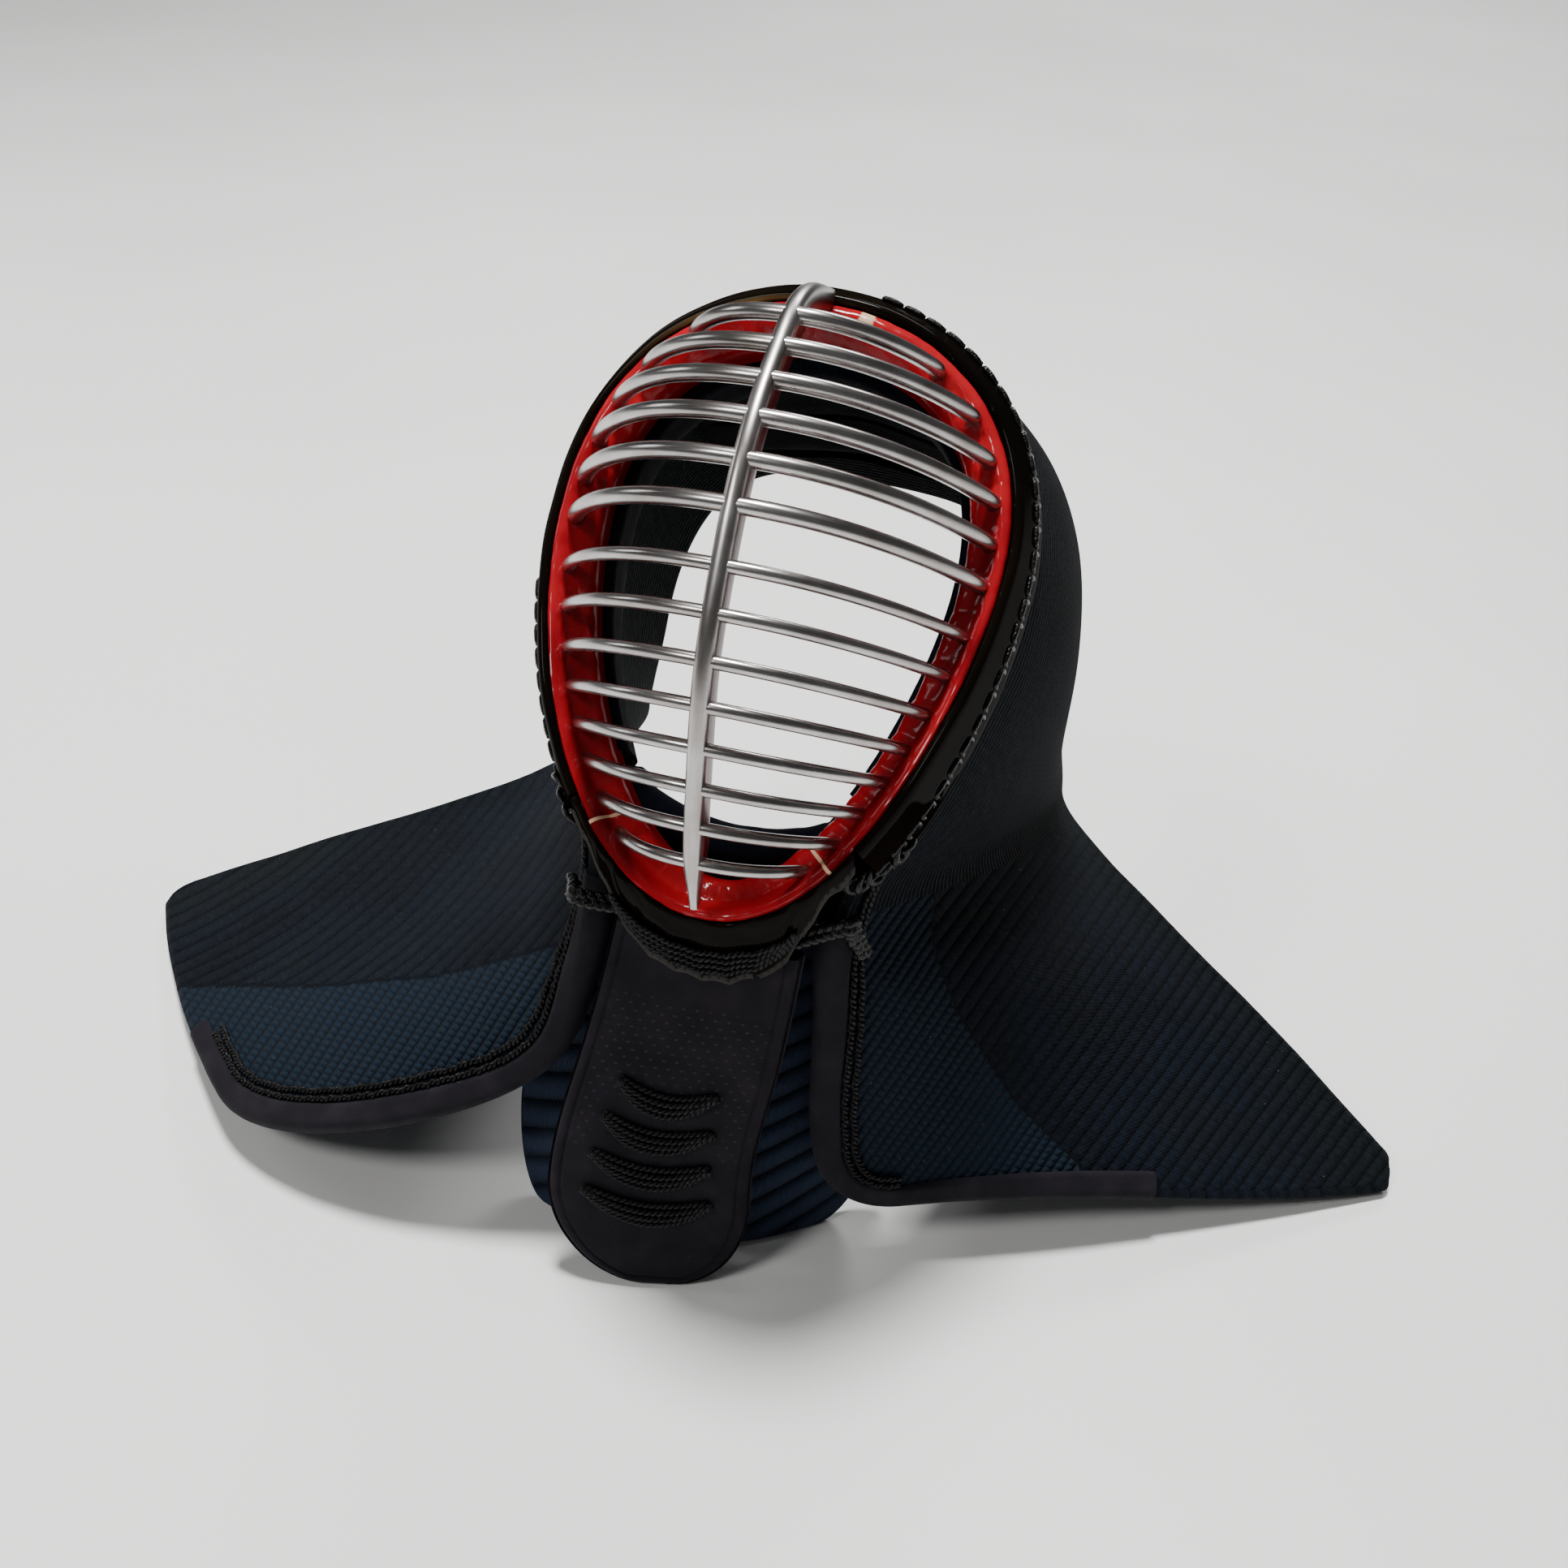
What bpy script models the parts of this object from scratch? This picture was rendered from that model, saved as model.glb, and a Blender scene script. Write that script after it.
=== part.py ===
"""Kendo helmet resting on a floor: a steel grill in a red lacquered facing, a black lacquered band,
a quilted hood over the head with a wing to each shoulder tip, and two throat flaps.

World frame: X lateral (the viewer's right is +X), the face looks towards -Y, +Z up, floor at Z = 0.
The origin is on the floor, under the foot of the throat flap. Lengths are in metres.
Guard frame: a lateral, b up along the guard's plane, c out of the face; it leans back by LEAN.
"""

import math

import bmesh
import bpy
import numpy as np

# Stance of the guard
LEAN = math.radians(42.9)
GUARD_RISE = 0.314          # centre of the guard above the floor
GUARD_SETBACK = 0.096       # centre of the guard behind the flap's foot
CLEARANCE = 0.0004
SOCKET_CLEARANCE = 0.0007   # round the bars where they enter the facing

# Outline through the ends of the bars, an egg with its wide end up
OPENING_HALF_WIDTH = 0.0814
OPENING_HALF_HEIGHT = 0.118
OPENING_DROP = 0.0043
EGG_TAPER = 0.25
EGG_SHOULDER = 0.12
BROW_FORWARD = 0.0182       # how the row of bar ends twists forward at the brow, back at the chin
ENDS_BOW = 0.0047

# Grill
BAR_COUNT = 14
BARS_ABOVE_GAP = 6
BAR_PITCH = 0.017
LOOK_GAP = 0.0215           # the wider gap that the wearer looks through
UPPER_BAR = 0.0066          # diameters
LOWER_BAR = 0.0052
GRILL_BULGE = 0.077
SPINE_WIDTH = 0.0084
SPINE_FRONT = 0.0038
SPINE_BACK = 0.0105
ARCH_POWER = 2.4
ARCH_FLAT = 0.91
BAR_DROP = 0.008            # the bars' ends lie above their middles by this much
RING_WIDTH = 0.008
RING_DEPTH = 0.0075
RING_BURIED = 0.0085        # ring's front below the bar ends
# Side profile of the upright bar: height as a share of the half height, bulge as a share
SPINE_PROFILE = (
    # height, bulge
    (-1.07, -0.07),
    (-0.92, 0.20),
    (-0.74, 0.44),
    (-0.42, 0.80),
    (-0.09, 0.960),
    (0.30, 1.000),
    (0.68, 0.814),
    (0.95, 0.46),
    (1.06, 0.16),
)

# Red facing round the opening
FACING_LIP = 0.0070         # how far it reaches outside the bar ends
FACING_INNER = 0.0095       # how far inside them
FACING_WALL = 0.022         # depth of its inner wall
FACING_THICK = 0.0026
LIP_RAISE = 0.0023
LIP_SLOPE = 0.0083          # levels the lip against the twist of the bar ends
CHIN_SEAM = 0.80            # where the chin facing starts, as a share of half a turn

# Black band
BAND_REACH = 0.0120         # how much wider it is at its back than at the lip
BAND_DEPTH = 0.0233
BAND_THICK = 0.0024
JAW = 0.75                  # where band and hood end at the jaw, as a share of half a turn

# Quilted hood
HOOD_THICK = 0.009
WING_CLEARANCE = 0.0009     # between the head and each wing
HOOD_TUCK = 0.005           # how far its edge slides under the band
TUCK_SLOPE = 0.60           # the band's flare there
BACK_EDGE_Y = 0.298         # its back edge stands in this plane
ARCH_TOP = 0.284            # height of the back opening's crown
ARCH_HALF_WIDTH = 0.124
HOOD_BULGE = 0.016
RIGHT_REACH = 0.335         # shoulder tips, from the middle
LEFT_REACH = 0.374
JAW_HEIGHT = 0.205

# Suede bindings and braid on the shoulder corners
BINDING_ACROSS = 0.062      # width on the front edge, as a share of the way back
BRAID_ACROSS = 0.092
BINDING_STARTS_DOWN = 0.89  # and on the bottom edge, as a share of the way down
BRAID_STARTS_DOWN = 0.845
RIGHT_BINDING_CELLS = 6     # grid columns that the bottom binding runs along
LEFT_BINDING_CELLS = 6
RIGHT_BRAID_CELLS = 3
LEFT_BRAID_CELLS = 6
BIND_THICK = 0.0018
BIND_CLEARANCE = 0.0009
BRAID_THICK = 0.0022

# Throat flaps, chin guard and pads
FLAP_TUCK = 0.0095          # how far it reaches up behind the chin guard
FLAP_HALF_WIDTH = 0.0455
FLAP_THICK = 0.009
FLAP_ROUND = 0.26           # share of its length over which the foot rounds off
FLAP_FOOT = 0.60            # width of the flat foot as a share
FLAP_DRIFT = -0.006
FLAP_YAW = math.radians(14)
FLAP_NECK = 0.90            # width at its top as a share
INNER_FLAP_FOOT_Y = 0.022
INNER_FLAP_BOW = 0.031      # how far its side edges curve back round the outer flap
INNER_FLAP_HALF_WIDTH = 0.083
INNER_FLAP_THICK = 0.006
CRESCENT_COUNT = 4
CRESCENT_THICK = 0.003
CHIN_DROP = 0.030
CHIN_THICK = 0.003
PAD_THICK = 0.012
CROWN_PAD_SHARE = 0.20      # share of half a turn, to each side of the crown
CROWN_PAD_COLUMNS = (4, 9)
RING_PAD_WIDTH = 0.018
RING_PAD_DEPTH = 0.036
RING_PAD_ENDS = 0.70
CHIN_PAD_GAP = 0.022
CHIN_PAD_HEIGHT = 0.022
CHIN_PAD_LENGTH = 0.034
CHIN_PAD_SINK = 0.018
LOOP_DIAMETER = 0.006
LOOP_CLEARANCE = 0.0012
INNER_FLAP_NECK = 0.55
INNER_FLAP_FOOT = 0.76
FOOT_SINK = 0.001
CRESCENT_FIRST = 0.45       # share of the way down the flap
CRESCENT_STEP = 0.108
CRESCENT_HALF_HEIGHT = 0.036
CRESCENT_BOW = 0.055
CRESCENT_HALF_WIDTH = 0.62
CHIN_GUARD_ENDS = 0.80
CHIN_END_SHARE = 0.45
CHIN_SCALLOP = 0.0035
CHIN_LEAN = 0.25
SCALLOPS = 5

HALF_TURN_STEPS = 20        # ring stations in half a turn

# Head sections from crown to jaw: angle as a share of JAW, back edge as shares of the arch, bulge share
HEAD_SECTIONS = (
    # angle, back_x, back_z, bulge
    (0.000, 0.00, 1.000, 0.75),
    (0.167, 0.34, 0.990, 0.75),
    (0.333, 0.62, 0.925, 1.10),
    (0.500, 0.83, 0.760, 1.15),
    (0.667, 0.91, 0.590, 1.00),
    (0.833, 0.96, 0.475, 0.80),
    (1.000, 1.00, 0.387, 0.55),
)
# Shoulder wings, each row a line across the sheet: how far down it is, then for the front edge, two
# places between and the back edge x as a share of the reach, y of BACK_EDGE_Y and z of JAW_HEIGHT
RIGHT_WING = (
    # down, front, middle, rear, back
    (0.33, (0.148, 0.150, 0.75), (0.305, 0.36, 0.70), (0.445, 0.64, 0.52), (0.550, 0.83, 0.40)),
    (0.67, (0.155, 0.150, 0.44), (0.360, 0.31, 0.43), (0.570, 0.55, 0.33), (0.770, 0.69, 0.25)),
    (1.00, (0.185, 0.145, 0.15), (0.440, 0.26, 0.17), (0.715, 0.40, 0.09), (1.000, 0.57, 0.015)),
)
LEFT_WING = (
    # down, front, middle, rear, back
    (0.33, (0.148, 0.110, 0.70), (0.290, 0.31, 0.62), (0.400, 0.61, 0.48), (0.480, 0.81, 0.40)),
    (0.67, (0.230, 0.060, 0.38), (0.400, 0.18, 0.42), (0.550, 0.46, 0.35), (0.680, 0.68, 0.28)),
    (1.00, (0.465, -0.100, 0.12), (0.620, 0.05, 0.12), (0.810, 0.27, 0.07), (1.000, 0.57, 0.015)),
)
# Chin pad's middle line, as shares of where the ring pad ends
CHIN_PAD_PATH = (
    # lateral, height
    (-0.90, 1.00), (-0.72, 1.12), (0.00, 1.22), (0.72, 1.12), (0.90, 1.00),
)
CORNERS = {"right": (0.20, 0.12), "left": (0.62, 0.40)}   # rounding of the front corners, down and across
WING_ROWS = 9
HOOD_COLUMNS = 11

MATERIALS = {
    "polished_metal": ((0.62, 0.61, 0.60), 0.28, 1.0),
    "red_lacquer": ((0.45, 0.012, 0.016), 0.22, 0.0),
    "black_lacquer": ((0.012, 0.010, 0.009), 0.16, 0.0),
    "indigo_quilt": ((0.014, 0.022, 0.042), 0.90, 0.0),
    "dark_suede": ((0.022, 0.017, 0.026), 0.95, 0.0),
    "black_braid": ((0.012, 0.012, 0.013), 0.70, 0.0),
    "navy_pad": ((0.012, 0.014, 0.026), 0.92, 0.0),
}


def clear_scene():
    for obj in list(bpy.data.objects):
        bpy.data.objects.remove(obj, do_unlink=True)


def make_materials():
    made = {}
    for name, (colour, roughness, metallic) in MATERIALS.items():
        material = bpy.data.materials.new(name)
        material.use_nodes = True
        shader = material.node_tree.nodes["Principled BSDF"]
        shader.inputs["Base Color"].default_value = (*colour, 1.0)
        shader.inputs["Roughness"].default_value = roughness
        shader.inputs["Metallic"].default_value = metallic
        made[name] = material
    return made


def spline(knots, values, at):
    """Natural cubic spline through the values at the knots, for any trailing shape of values."""
    knots, values, at = np.asarray(knots, float), np.asarray(values, float), np.asarray(at, float)
    count = len(knots)
    step = np.diff(knots)
    slope = np.diff(values, axis=0) / step.reshape((-1,) + (1,) * (values.ndim - 1))
    matrix, right = np.eye(count), np.zeros_like(values)
    for i in range(1, count - 1):
        matrix[i, i - 1:i + 2] = step[i - 1], 2 * (step[i - 1] + step[i]), step[i]
        right[i] = 6 * (slope[i] - slope[i - 1])
    bend = np.linalg.solve(matrix, right.reshape(count, -1)).reshape(values.shape)
    i = np.clip(np.searchsorted(knots, at) - 1, 0, count - 2)
    shape = (-1,) + (1,) * (values.ndim - 1)
    h = step[i].reshape(shape)
    left, over = (at - knots[i]).reshape(shape), (knots[i + 1] - at).reshape(shape)
    cubic = (bend[i] * over**3 + bend[i + 1] * left**3) / (6 * h)
    linear = (values[i] / h - bend[i] * h / 6) * over + (values[i + 1] / h - bend[i + 1] * h / 6) * left
    return cubic + linear


def place(a, b, c):
    """Points of the guard frame in the world."""
    a, b, c = np.broadcast_arrays(a, b, c)
    y = GUARD_SETBACK + b * math.sin(LEAN) - c * math.cos(LEAN)
    z = GUARD_RISE + b * math.cos(LEAN) + c * math.sin(LEAN)
    return np.stack([a, y, z], axis=-1)


def egg(angle):
    """The outline through the bar ends; the angle runs from the top, positive to +X."""
    swell = 1 + EGG_TAPER * np.cos(angle) + EGG_SHOULDER * np.cos(angle) ** 2
    return OPENING_HALF_WIDTH * np.sin(angle) * swell, OPENING_HALF_HEIGHT * np.cos(angle) - OPENING_DROP


def egg_normal(angle):
    nudge = 1e-5
    a0, b0 = egg(angle - nudge)
    a1, b1 = egg(angle + nudge)
    length = np.hypot(a1 - a0, b1 - b0)
    return (b0 - b1) / length, (a1 - a0) / length


def ends_depth(b):
    """How far in front of the guard's plane the bar ends lie."""
    share = b / OPENING_HALF_HEIGHT
    return BROW_FORWARD * share**3 - ENDS_BOW * share**2


def rim(angle, out, depth, lip=0.0):
    """A point at a distance outside the bar ends and a depth from them; lip 1 levels it to the lip."""
    a, b = egg(angle)
    na, nb = egg_normal(angle)
    a, b = a + na * out, b + nb * out
    level = LIP_RAISE - LIP_SLOPE * b / OPENING_HALF_HEIGHT
    return place(a, b, ends_depth(b) + lip * level + depth)


def spine_curve(count=400):
    """The upright bar's middle line as b and c against arc length, zero at the middle of the look gap."""
    profile = np.array(SPINE_PROFILE)
    b = np.linspace(profile[0, 0], profile[-1, 0], count) * OPENING_HALF_HEIGHT
    c = spline(profile[:, 0] * OPENING_HALF_HEIGHT, profile[:, 1] * GRILL_BULGE, b)
    length = np.concatenate([[0], np.cumsum(np.hypot(np.diff(b), np.diff(c)))])
    return b, c, length - np.interp(0, b, length)


def bar_places():
    """Arc length along the upright bar of each cross bar, from the brow down."""
    above = [LOOK_GAP / 2 + BAR_PITCH * i for i in range(BARS_ABOVE_GAP)][::-1]
    below = [-LOOK_GAP / 2 - BAR_PITCH * i for i in range(BAR_COUNT - BARS_ABOVE_GAP)]
    return np.array(above + below)


def bar_line(length, segments):
    """One cross bar's middle line in the world, from the left end to the right end."""
    b_line, c_line, arc = spine_curve()
    b, c = np.interp(length, arc, b_line), np.interp(length, arc, c_line)
    end_b = min(b + BAR_DROP, 0.97 * OPENING_HALF_HEIGHT - OPENING_DROP)
    angles = np.linspace(0.01, math.pi - 0.01, 600)
    widths, heights = egg(angles)
    half = np.interp(end_b, heights[::-1], widths[::-1])
    end_c = ends_depth(end_b)
    across = np.sin(np.linspace(-math.pi / 2, math.pi / 2, segments + 1))
    fall = np.abs(across)
    arch = (1 - fall**ARCH_POWER) ** ARCH_FLAT
    line_b = b + (end_b - b) * fall ** (ARCH_POWER + 0.2)
    line_c = end_c + (c - end_c) * arch
    return half * across, line_b, line_c


def tube_rings(line, radii, sides, up=(0.0, 0.0, 1.0)):
    """Rings of an oval tube round a line of points: radii along the side direction and along up."""
    line = np.asarray(line, float)
    along = np.gradient(line, axis=0)
    along /= np.linalg.norm(along, axis=1, keepdims=True)
    side = np.cross(along, np.asarray(up, float))
    side /= np.linalg.norm(side, axis=1, keepdims=True)
    rise = np.cross(side, along)
    turn = (np.arange(sides) + 0.5) * 2 * math.pi / sides
    wide, tall = radii
    return (line[:, None] + side[:, None] * (np.cos(turn)[None, :, None] * wide)
            + rise[:, None] * (np.sin(turn)[None, :, None] * tall))


def build(name, points, faces, material, smooth=True):
    mesh = bpy.data.meshes.new(name)
    mesh.from_pydata([tuple(p) for p in np.asarray(points, float)], [], faces)
    work = bmesh.new()
    work.from_mesh(mesh)
    bmesh.ops.recalc_face_normals(work, faces=work.faces)
    work.to_mesh(mesh)
    work.free()
    if smooth:
        mesh.shade_smooth()
        mesh.set_sharp_from_angle(angle=math.radians(40))
    obj = bpy.data.objects.new(name, mesh)
    bpy.context.scene.collection.objects.link(obj)
    mesh.materials.append(material)
    return obj


def ring_faces(rings, sides, start=0, closed=False):
    """Quads between rings of points, with end caps unless the run of rings is closed."""
    faces = []
    for i in range(rings if closed else rings - 1):
        j = (i + 1) % rings
        for k in range(sides):
            m = (k + 1) % sides
            faces.append((start + i * sides + k, start + i * sides + m, start + j * sides + m, start + j * sides + k))
    if not closed:
        faces.append(tuple(start + k for k in range(sides))[::-1])
        faces.append(tuple(start + (rings - 1) * sides + k for k in range(sides)))
    return faces


def swept(name, rings, material, closed=False):
    count, sides = rings.shape[:2]
    return build(name, rings.reshape(-1, 3), ring_faces(count, sides, closed=closed), material)


def several(name, runs, material):
    """Separate swept bodies in one mesh, to serve as one side of a Boolean."""
    points, faces, start = [], [], 0
    for rings in runs:
        count, sides = rings.shape[:2]
        points.append(rings.reshape(-1, 3))
        faces += ring_faces(count, sides, start=start)
        start += count * sides
    return build(name, np.concatenate(points), faces, material)


def combine(target, helper, operation):
    helper.hide_render = True
    helper.display_type = "WIRE"
    modifier = target.modifiers.new(operation.title(), "BOOLEAN")
    modifier.operation = operation
    modifier.object = helper


def thicken(name, inner, outer, faces, material):
    """A closed wall between two skins that share one set of faces, with its rim closed."""
    count = len(inner)
    edges = {}
    for face in faces:
        for p, q in zip(face, face[1:] + face[:1]):
            if (q, p) in edges:
                del edges[(q, p)]
            else:
                edges[(p, q)] = True
    solid = [tuple(face) for face in faces] + [tuple(i + count for i in face)[::-1] for face in faces]
    solid += [face for p, q in edges for face in ((q, p, p + count), (q, p + count, q + count))]
    used = sorted({i for face in solid for i in face})
    renumber = {old: new for new, old in enumerate(used)}
    points = np.concatenate([outer, inner])[used]
    return build(name, points, [tuple(renumber[i] for i in face) for face in solid], material)


def normals_of(grid):
    """Unit normals of a grid of points, from its two directions."""
    normal = np.cross(np.gradient(grid, axis=0), np.gradient(grid, axis=1))
    return normal / np.linalg.norm(normal, axis=2, keepdims=True)


def cells(wanted, shape):
    """Two triangles for each wanted cell of a grid, always cut along the same diagonal."""
    faces = []
    for i, j in wanted:
        corner, across = i * shape[1] + j, shape[1]
        faces.append((corner, corner + across, corner + across + 1))
        faces.append((corner, corner + across + 1, corner + 1))
    return faces


def on_floor(points):
    """Flattens what would sink into the floor."""
    points = np.array(points)
    points[..., 2] = np.maximum(points[..., 2], 0.0)
    return points


def grid_sheet(name, grid, thick, material, normal=None, flatten=True):
    """A sheet of one thickness about a grid of points."""
    if normal is None:
        normal = normals_of(grid)
    rows, columns = grid.shape[:2]
    faces = cells([(i, j) for i in range(rows - 1) for j in range(columns - 1)], (rows, columns))
    inner, outer = grid - normal * thick / 2, grid + normal * thick / 2
    if flatten:
        inner, outer = on_floor(inner), on_floor(outer)
    return thicken(name, inner.reshape(-1, 3), outer.reshape(-1, 3), faces, material)


def drawn_in(grid, wanted):
    """The grid with the wanted cells' outer points moved in a little, clear of what lies beside them."""
    middle, count = np.zeros_like(grid), np.zeros(grid.shape[:2])
    for i, j in wanted:
        centre = grid[i:i + 2, j:j + 2].mean(axis=(0, 1))
        middle[i:i + 2, j:j + 2] += centre
        count[i:i + 2, j:j + 2] += 1
    toward = np.where(count[..., None] > 0, middle / np.maximum(count, 1)[..., None] - grid, 0)
    length = np.linalg.norm(toward, axis=2, keepdims=True)
    step = np.where((count > 0) & (count < 4), 2 * CLEARANCE, 0)[..., None]
    return grid + toward / np.maximum(length, 1e-9) * step


def grid_patch(name, grid, low, high, wanted, material):
    """A patch that lies on some cells of a grid, between two heights along its normals."""
    normal = normals_of(grid)
    grid = drawn_in(grid, wanted)
    faces = cells(wanted, grid.shape[:2])
    inner, outer = on_floor(grid + normal * low), on_floor(grid + normal * high)
    return thicken(name, inner.reshape(-1, 3), outer.reshape(-1, 3), faces, material)


def ring_angles(start, stop):
    """Stations round the guard, on one shared set of angles, between two shares of half a turn."""
    first, last = round(start * HALF_TURN_STEPS), round(stop * HALF_TURN_STEPS)
    return np.arange(first, last + 1) * math.pi / HALF_TURN_STEPS


def rim_sweep(name, section, angles, material, closed=False):
    """Carries a section round the guard; its rows are out, depth and share of the lip's levelling."""
    points = [rim(angles, out, depth, lip) for out, depth, lip in section]
    return swept(name, np.stack(points, axis=1), material, closed)


# Grill

def bar_diameter(number):
    return UPPER_BAR if number <= BARS_ABOVE_GAP else LOWER_BAR


def bar_rings(number, length, extra, segments=8, sides=6):
    a, b, c = bar_line(length, segments)
    line = place(a, b, c)
    root = RING_BURIED + RING_DEPTH / 2
    sink = place(0.0, 0.0, -root) - place(0.0, 0.0, 0.0)
    line = np.concatenate([line[:1] + sink, line[:1] + sink * 0.3, line, line[-1:] + sink * 0.3, line[-1:] + sink])
    radius = bar_diameter(number) / 2 + extra
    return tube_rings(line, (radius, radius), sides, up=place(0, 1, 0) - place(0, 0, 0))


def spine_rings(extra, rows=17):
    b, c, arc = spine_curve()
    at = np.linspace(arc[0], arc[-1], rows)
    line_b, line_c = np.interp(at, arc, b), np.interp(at, arc, c)
    line = place(0.0, line_b, line_c)
    along = np.gradient(line, axis=0)
    along /= np.linalg.norm(along, axis=1, keepdims=True)
    line[[0, -1]] += along[[0, -1]] * np.array([[-extra], [extra]])
    side = np.array([1.0, 0.0, 0.0])
    front = np.cross(along, side)
    front *= np.sign(front @ (place(0, 0, 1) - place(0, 0, 0)))[:, None]
    half = SPINE_WIDTH / 2 + extra
    outline = [(half * 0.9, -SPINE_BACK - extra), (half, -SPINE_BACK * 0.5), (half, 0.0),
               (half * 0.72, SPINE_FRONT * 0.75 + extra), (0.0, SPINE_FRONT + extra)]
    outline += [(-x, y) for x, y in outline[3::-1]]
    return np.stack([line + side * x + front * y for x, y in outline], axis=1)


def make_grill(materials):
    angles = ring_angles(-1, 1)[:-1]
    half = RING_WIDTH / 2
    section = [(-half, -RING_BURIED, 0), (half, -RING_BURIED, 0),
               (half, -RING_BURIED - RING_DEPTH, 0), (-half, -RING_BURIED - RING_DEPTH, 0)]
    grill = rim_sweep("grill", section, angles, materials["polished_metal"], closed=True)
    bars = several("cross_bars", [bar_rings(i + 1, at, 0.0) for i, at in enumerate(bar_places())],
                   materials["polished_metal"])
    spine = swept("upright_bar", spine_rings(0.0), materials["polished_metal"])
    combine(grill, bars, "UNION")
    combine(grill, spine, "UNION")
    return grill


def make_facing(materials):
    thick, inner = FACING_THICK, FACING_INNER
    section = [
        (FACING_LIP, 0.0, 1), (1.0e-3, -0.0015, 0.3), (-0.55 * inner, -0.0040, 0), (-0.95 * inner, -0.0085, 0),
        (-inner, -FACING_WALL, 0), (-inner + thick, -FACING_WALL, 0), (-0.95 * inner + thick, -0.0095, 0),
        (-0.55 * inner + 0.6 * thick, -0.0040 - 0.9 * thick, 0), (FACING_LIP, -thick, 1),
    ]
    cutters = [bar_rings(i + 1, at, SOCKET_CLEARANCE) for i, at in enumerate(bar_places())]
    whole = spine_rings(SOCKET_CLEARANCE)
    made = []
    for name, start, stop in (("upper_facing", -CHIN_SEAM, CHIN_SEAM), ("chin_facing", CHIN_SEAM, 2 - CHIN_SEAM)):
        angles = ring_angles(start, stop)
        if name == "chin_facing":
            angles = angles.copy()
            angles[0] += CLEARANCE / OPENING_HALF_WIDTH * 2
            angles[-1] -= CLEARANCE / OPENING_HALF_WIDTH * 2
        facing = rim_sweep(name, section, angles, materials["red_lacquer"])
        combine(facing, several(name + "_sockets", cutters, materials["red_lacquer"]), "DIFFERENCE")
        combine(facing, swept(name + "_spine_socket", whole, materials["red_lacquer"]), "DIFFERENCE")
        made.append(facing)
    return made


def band_section():
    front, back = FACING_LIP + CLEARANCE, FACING_LIP + BAND_REACH
    return [
        (front, -0.0035, 1), (front, 0.0006, 1), (front + 0.002, 0.0011, 1), (front + 0.0047, -0.002, 1),
        (back, -BAND_DEPTH, 0), (back - BAND_THICK, -BAND_DEPTH, 0), (front + 0.0027, -0.0045, 1),
    ]


def make_band(materials):
    return rim_sweep("band", band_section(), ring_angles(-JAW, JAW), materials["black_lacquer"])


# Hood

def hood_front(angle):
    """Where the hood's middle surface starts, under the band's back edge."""
    out = FACING_LIP + BAND_REACH - BAND_THICK - HOOD_THICK / 2 - CLEARANCE
    out -= HOOD_TUCK * TUCK_SLOPE
    return rim(angle, out, HOOD_TUCK - BAND_DEPTH)


def hood_rows():
    """Control rows of the hood, from the left shoulder tip over the crown to the right, and their places."""
    table = np.array(HEAD_SECTIONS)
    angles = ring_angles(-JAW, JAW)
    share = np.abs(angles) / (JAW * math.pi)
    back_x = spline(table[:, 0], table[:, 1], share) * np.sign(angles) * ARCH_HALF_WIDTH
    back_z = spline(table[:, 0], table[:, 2], share) * ARCH_TOP
    bulge = spline(table[:, 0], table[:, 3], share) * HOOD_BULGE
    front = hood_front(angles)
    back = np.stack([back_x, np.full_like(back_x, BACK_EDGE_Y), back_z], axis=1)
    na, nb = egg_normal(angles)
    outward = place(na, nb, 0.0) - place(0.0, 0.0, 0.0)
    head = []
    for v in (0.0, 1 / 3, 2 / 3, 1.0):
        head.append(front * (1 - v) + back * v + outward * (4 * bulge * v * (1 - v))[:, None])
    head = np.stack(head, axis=1)
    places = np.sign(angles) * share
    rows, knots = [head], [places]
    for side, table, reach in ((1, RIGHT_WING, RIGHT_REACH), (-1, LEFT_WING, LEFT_REACH)):
        scale = np.array([side * reach, BACK_EDGE_Y, JAW_HEIGHT])
        wing = np.array([row[1:] for row in table]) * scale
        at = side * (1 + np.array([row[0] for row in table]))
        if side > 0:
            rows, knots = rows + [wing], knots + [at]
        else:
            rows, knots = [wing[::-1]] + rows, [at[::-1]] + knots
    return np.concatenate(knots), np.concatenate(rows)


def rounded_corner(down, across, size):
    """Moves the places near the square corner at (1, 0) so that it becomes a round one."""
    p, q = np.clip((1 - down) / size[0], 0, 1), np.clip(across / size[1], 0, 1)
    new_p = 1 - (1 - p) * np.sqrt(1 - (1 - q) ** 2 / 2)
    new_q = 1 - (1 - q) * np.sqrt(1 - (1 - p) ** 2 / 2)
    inside = (p < 1) & (q < 1)
    return np.where(inside, 1 - new_p * size[0], down), np.where(inside, new_q * size[1], across)


def wing_rows():
    """How far down the wing each row of the hood's grid lies; the last two bound the braid and binding."""
    even = np.linspace(0, BRAID_STARTS_DOWN, WING_ROWS - 1)[1:]
    return np.concatenate([even, [BINDING_STARTS_DOWN, 1.0]])


def hood_columns():
    """How far back each column of the hood's grid lies; the first two bound the binding and braid."""
    return np.concatenate([[0.0, BINDING_ACROSS], np.linspace(BRAID_ACROSS, 1.0, HOOD_COLUMNS - 1)])


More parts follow.
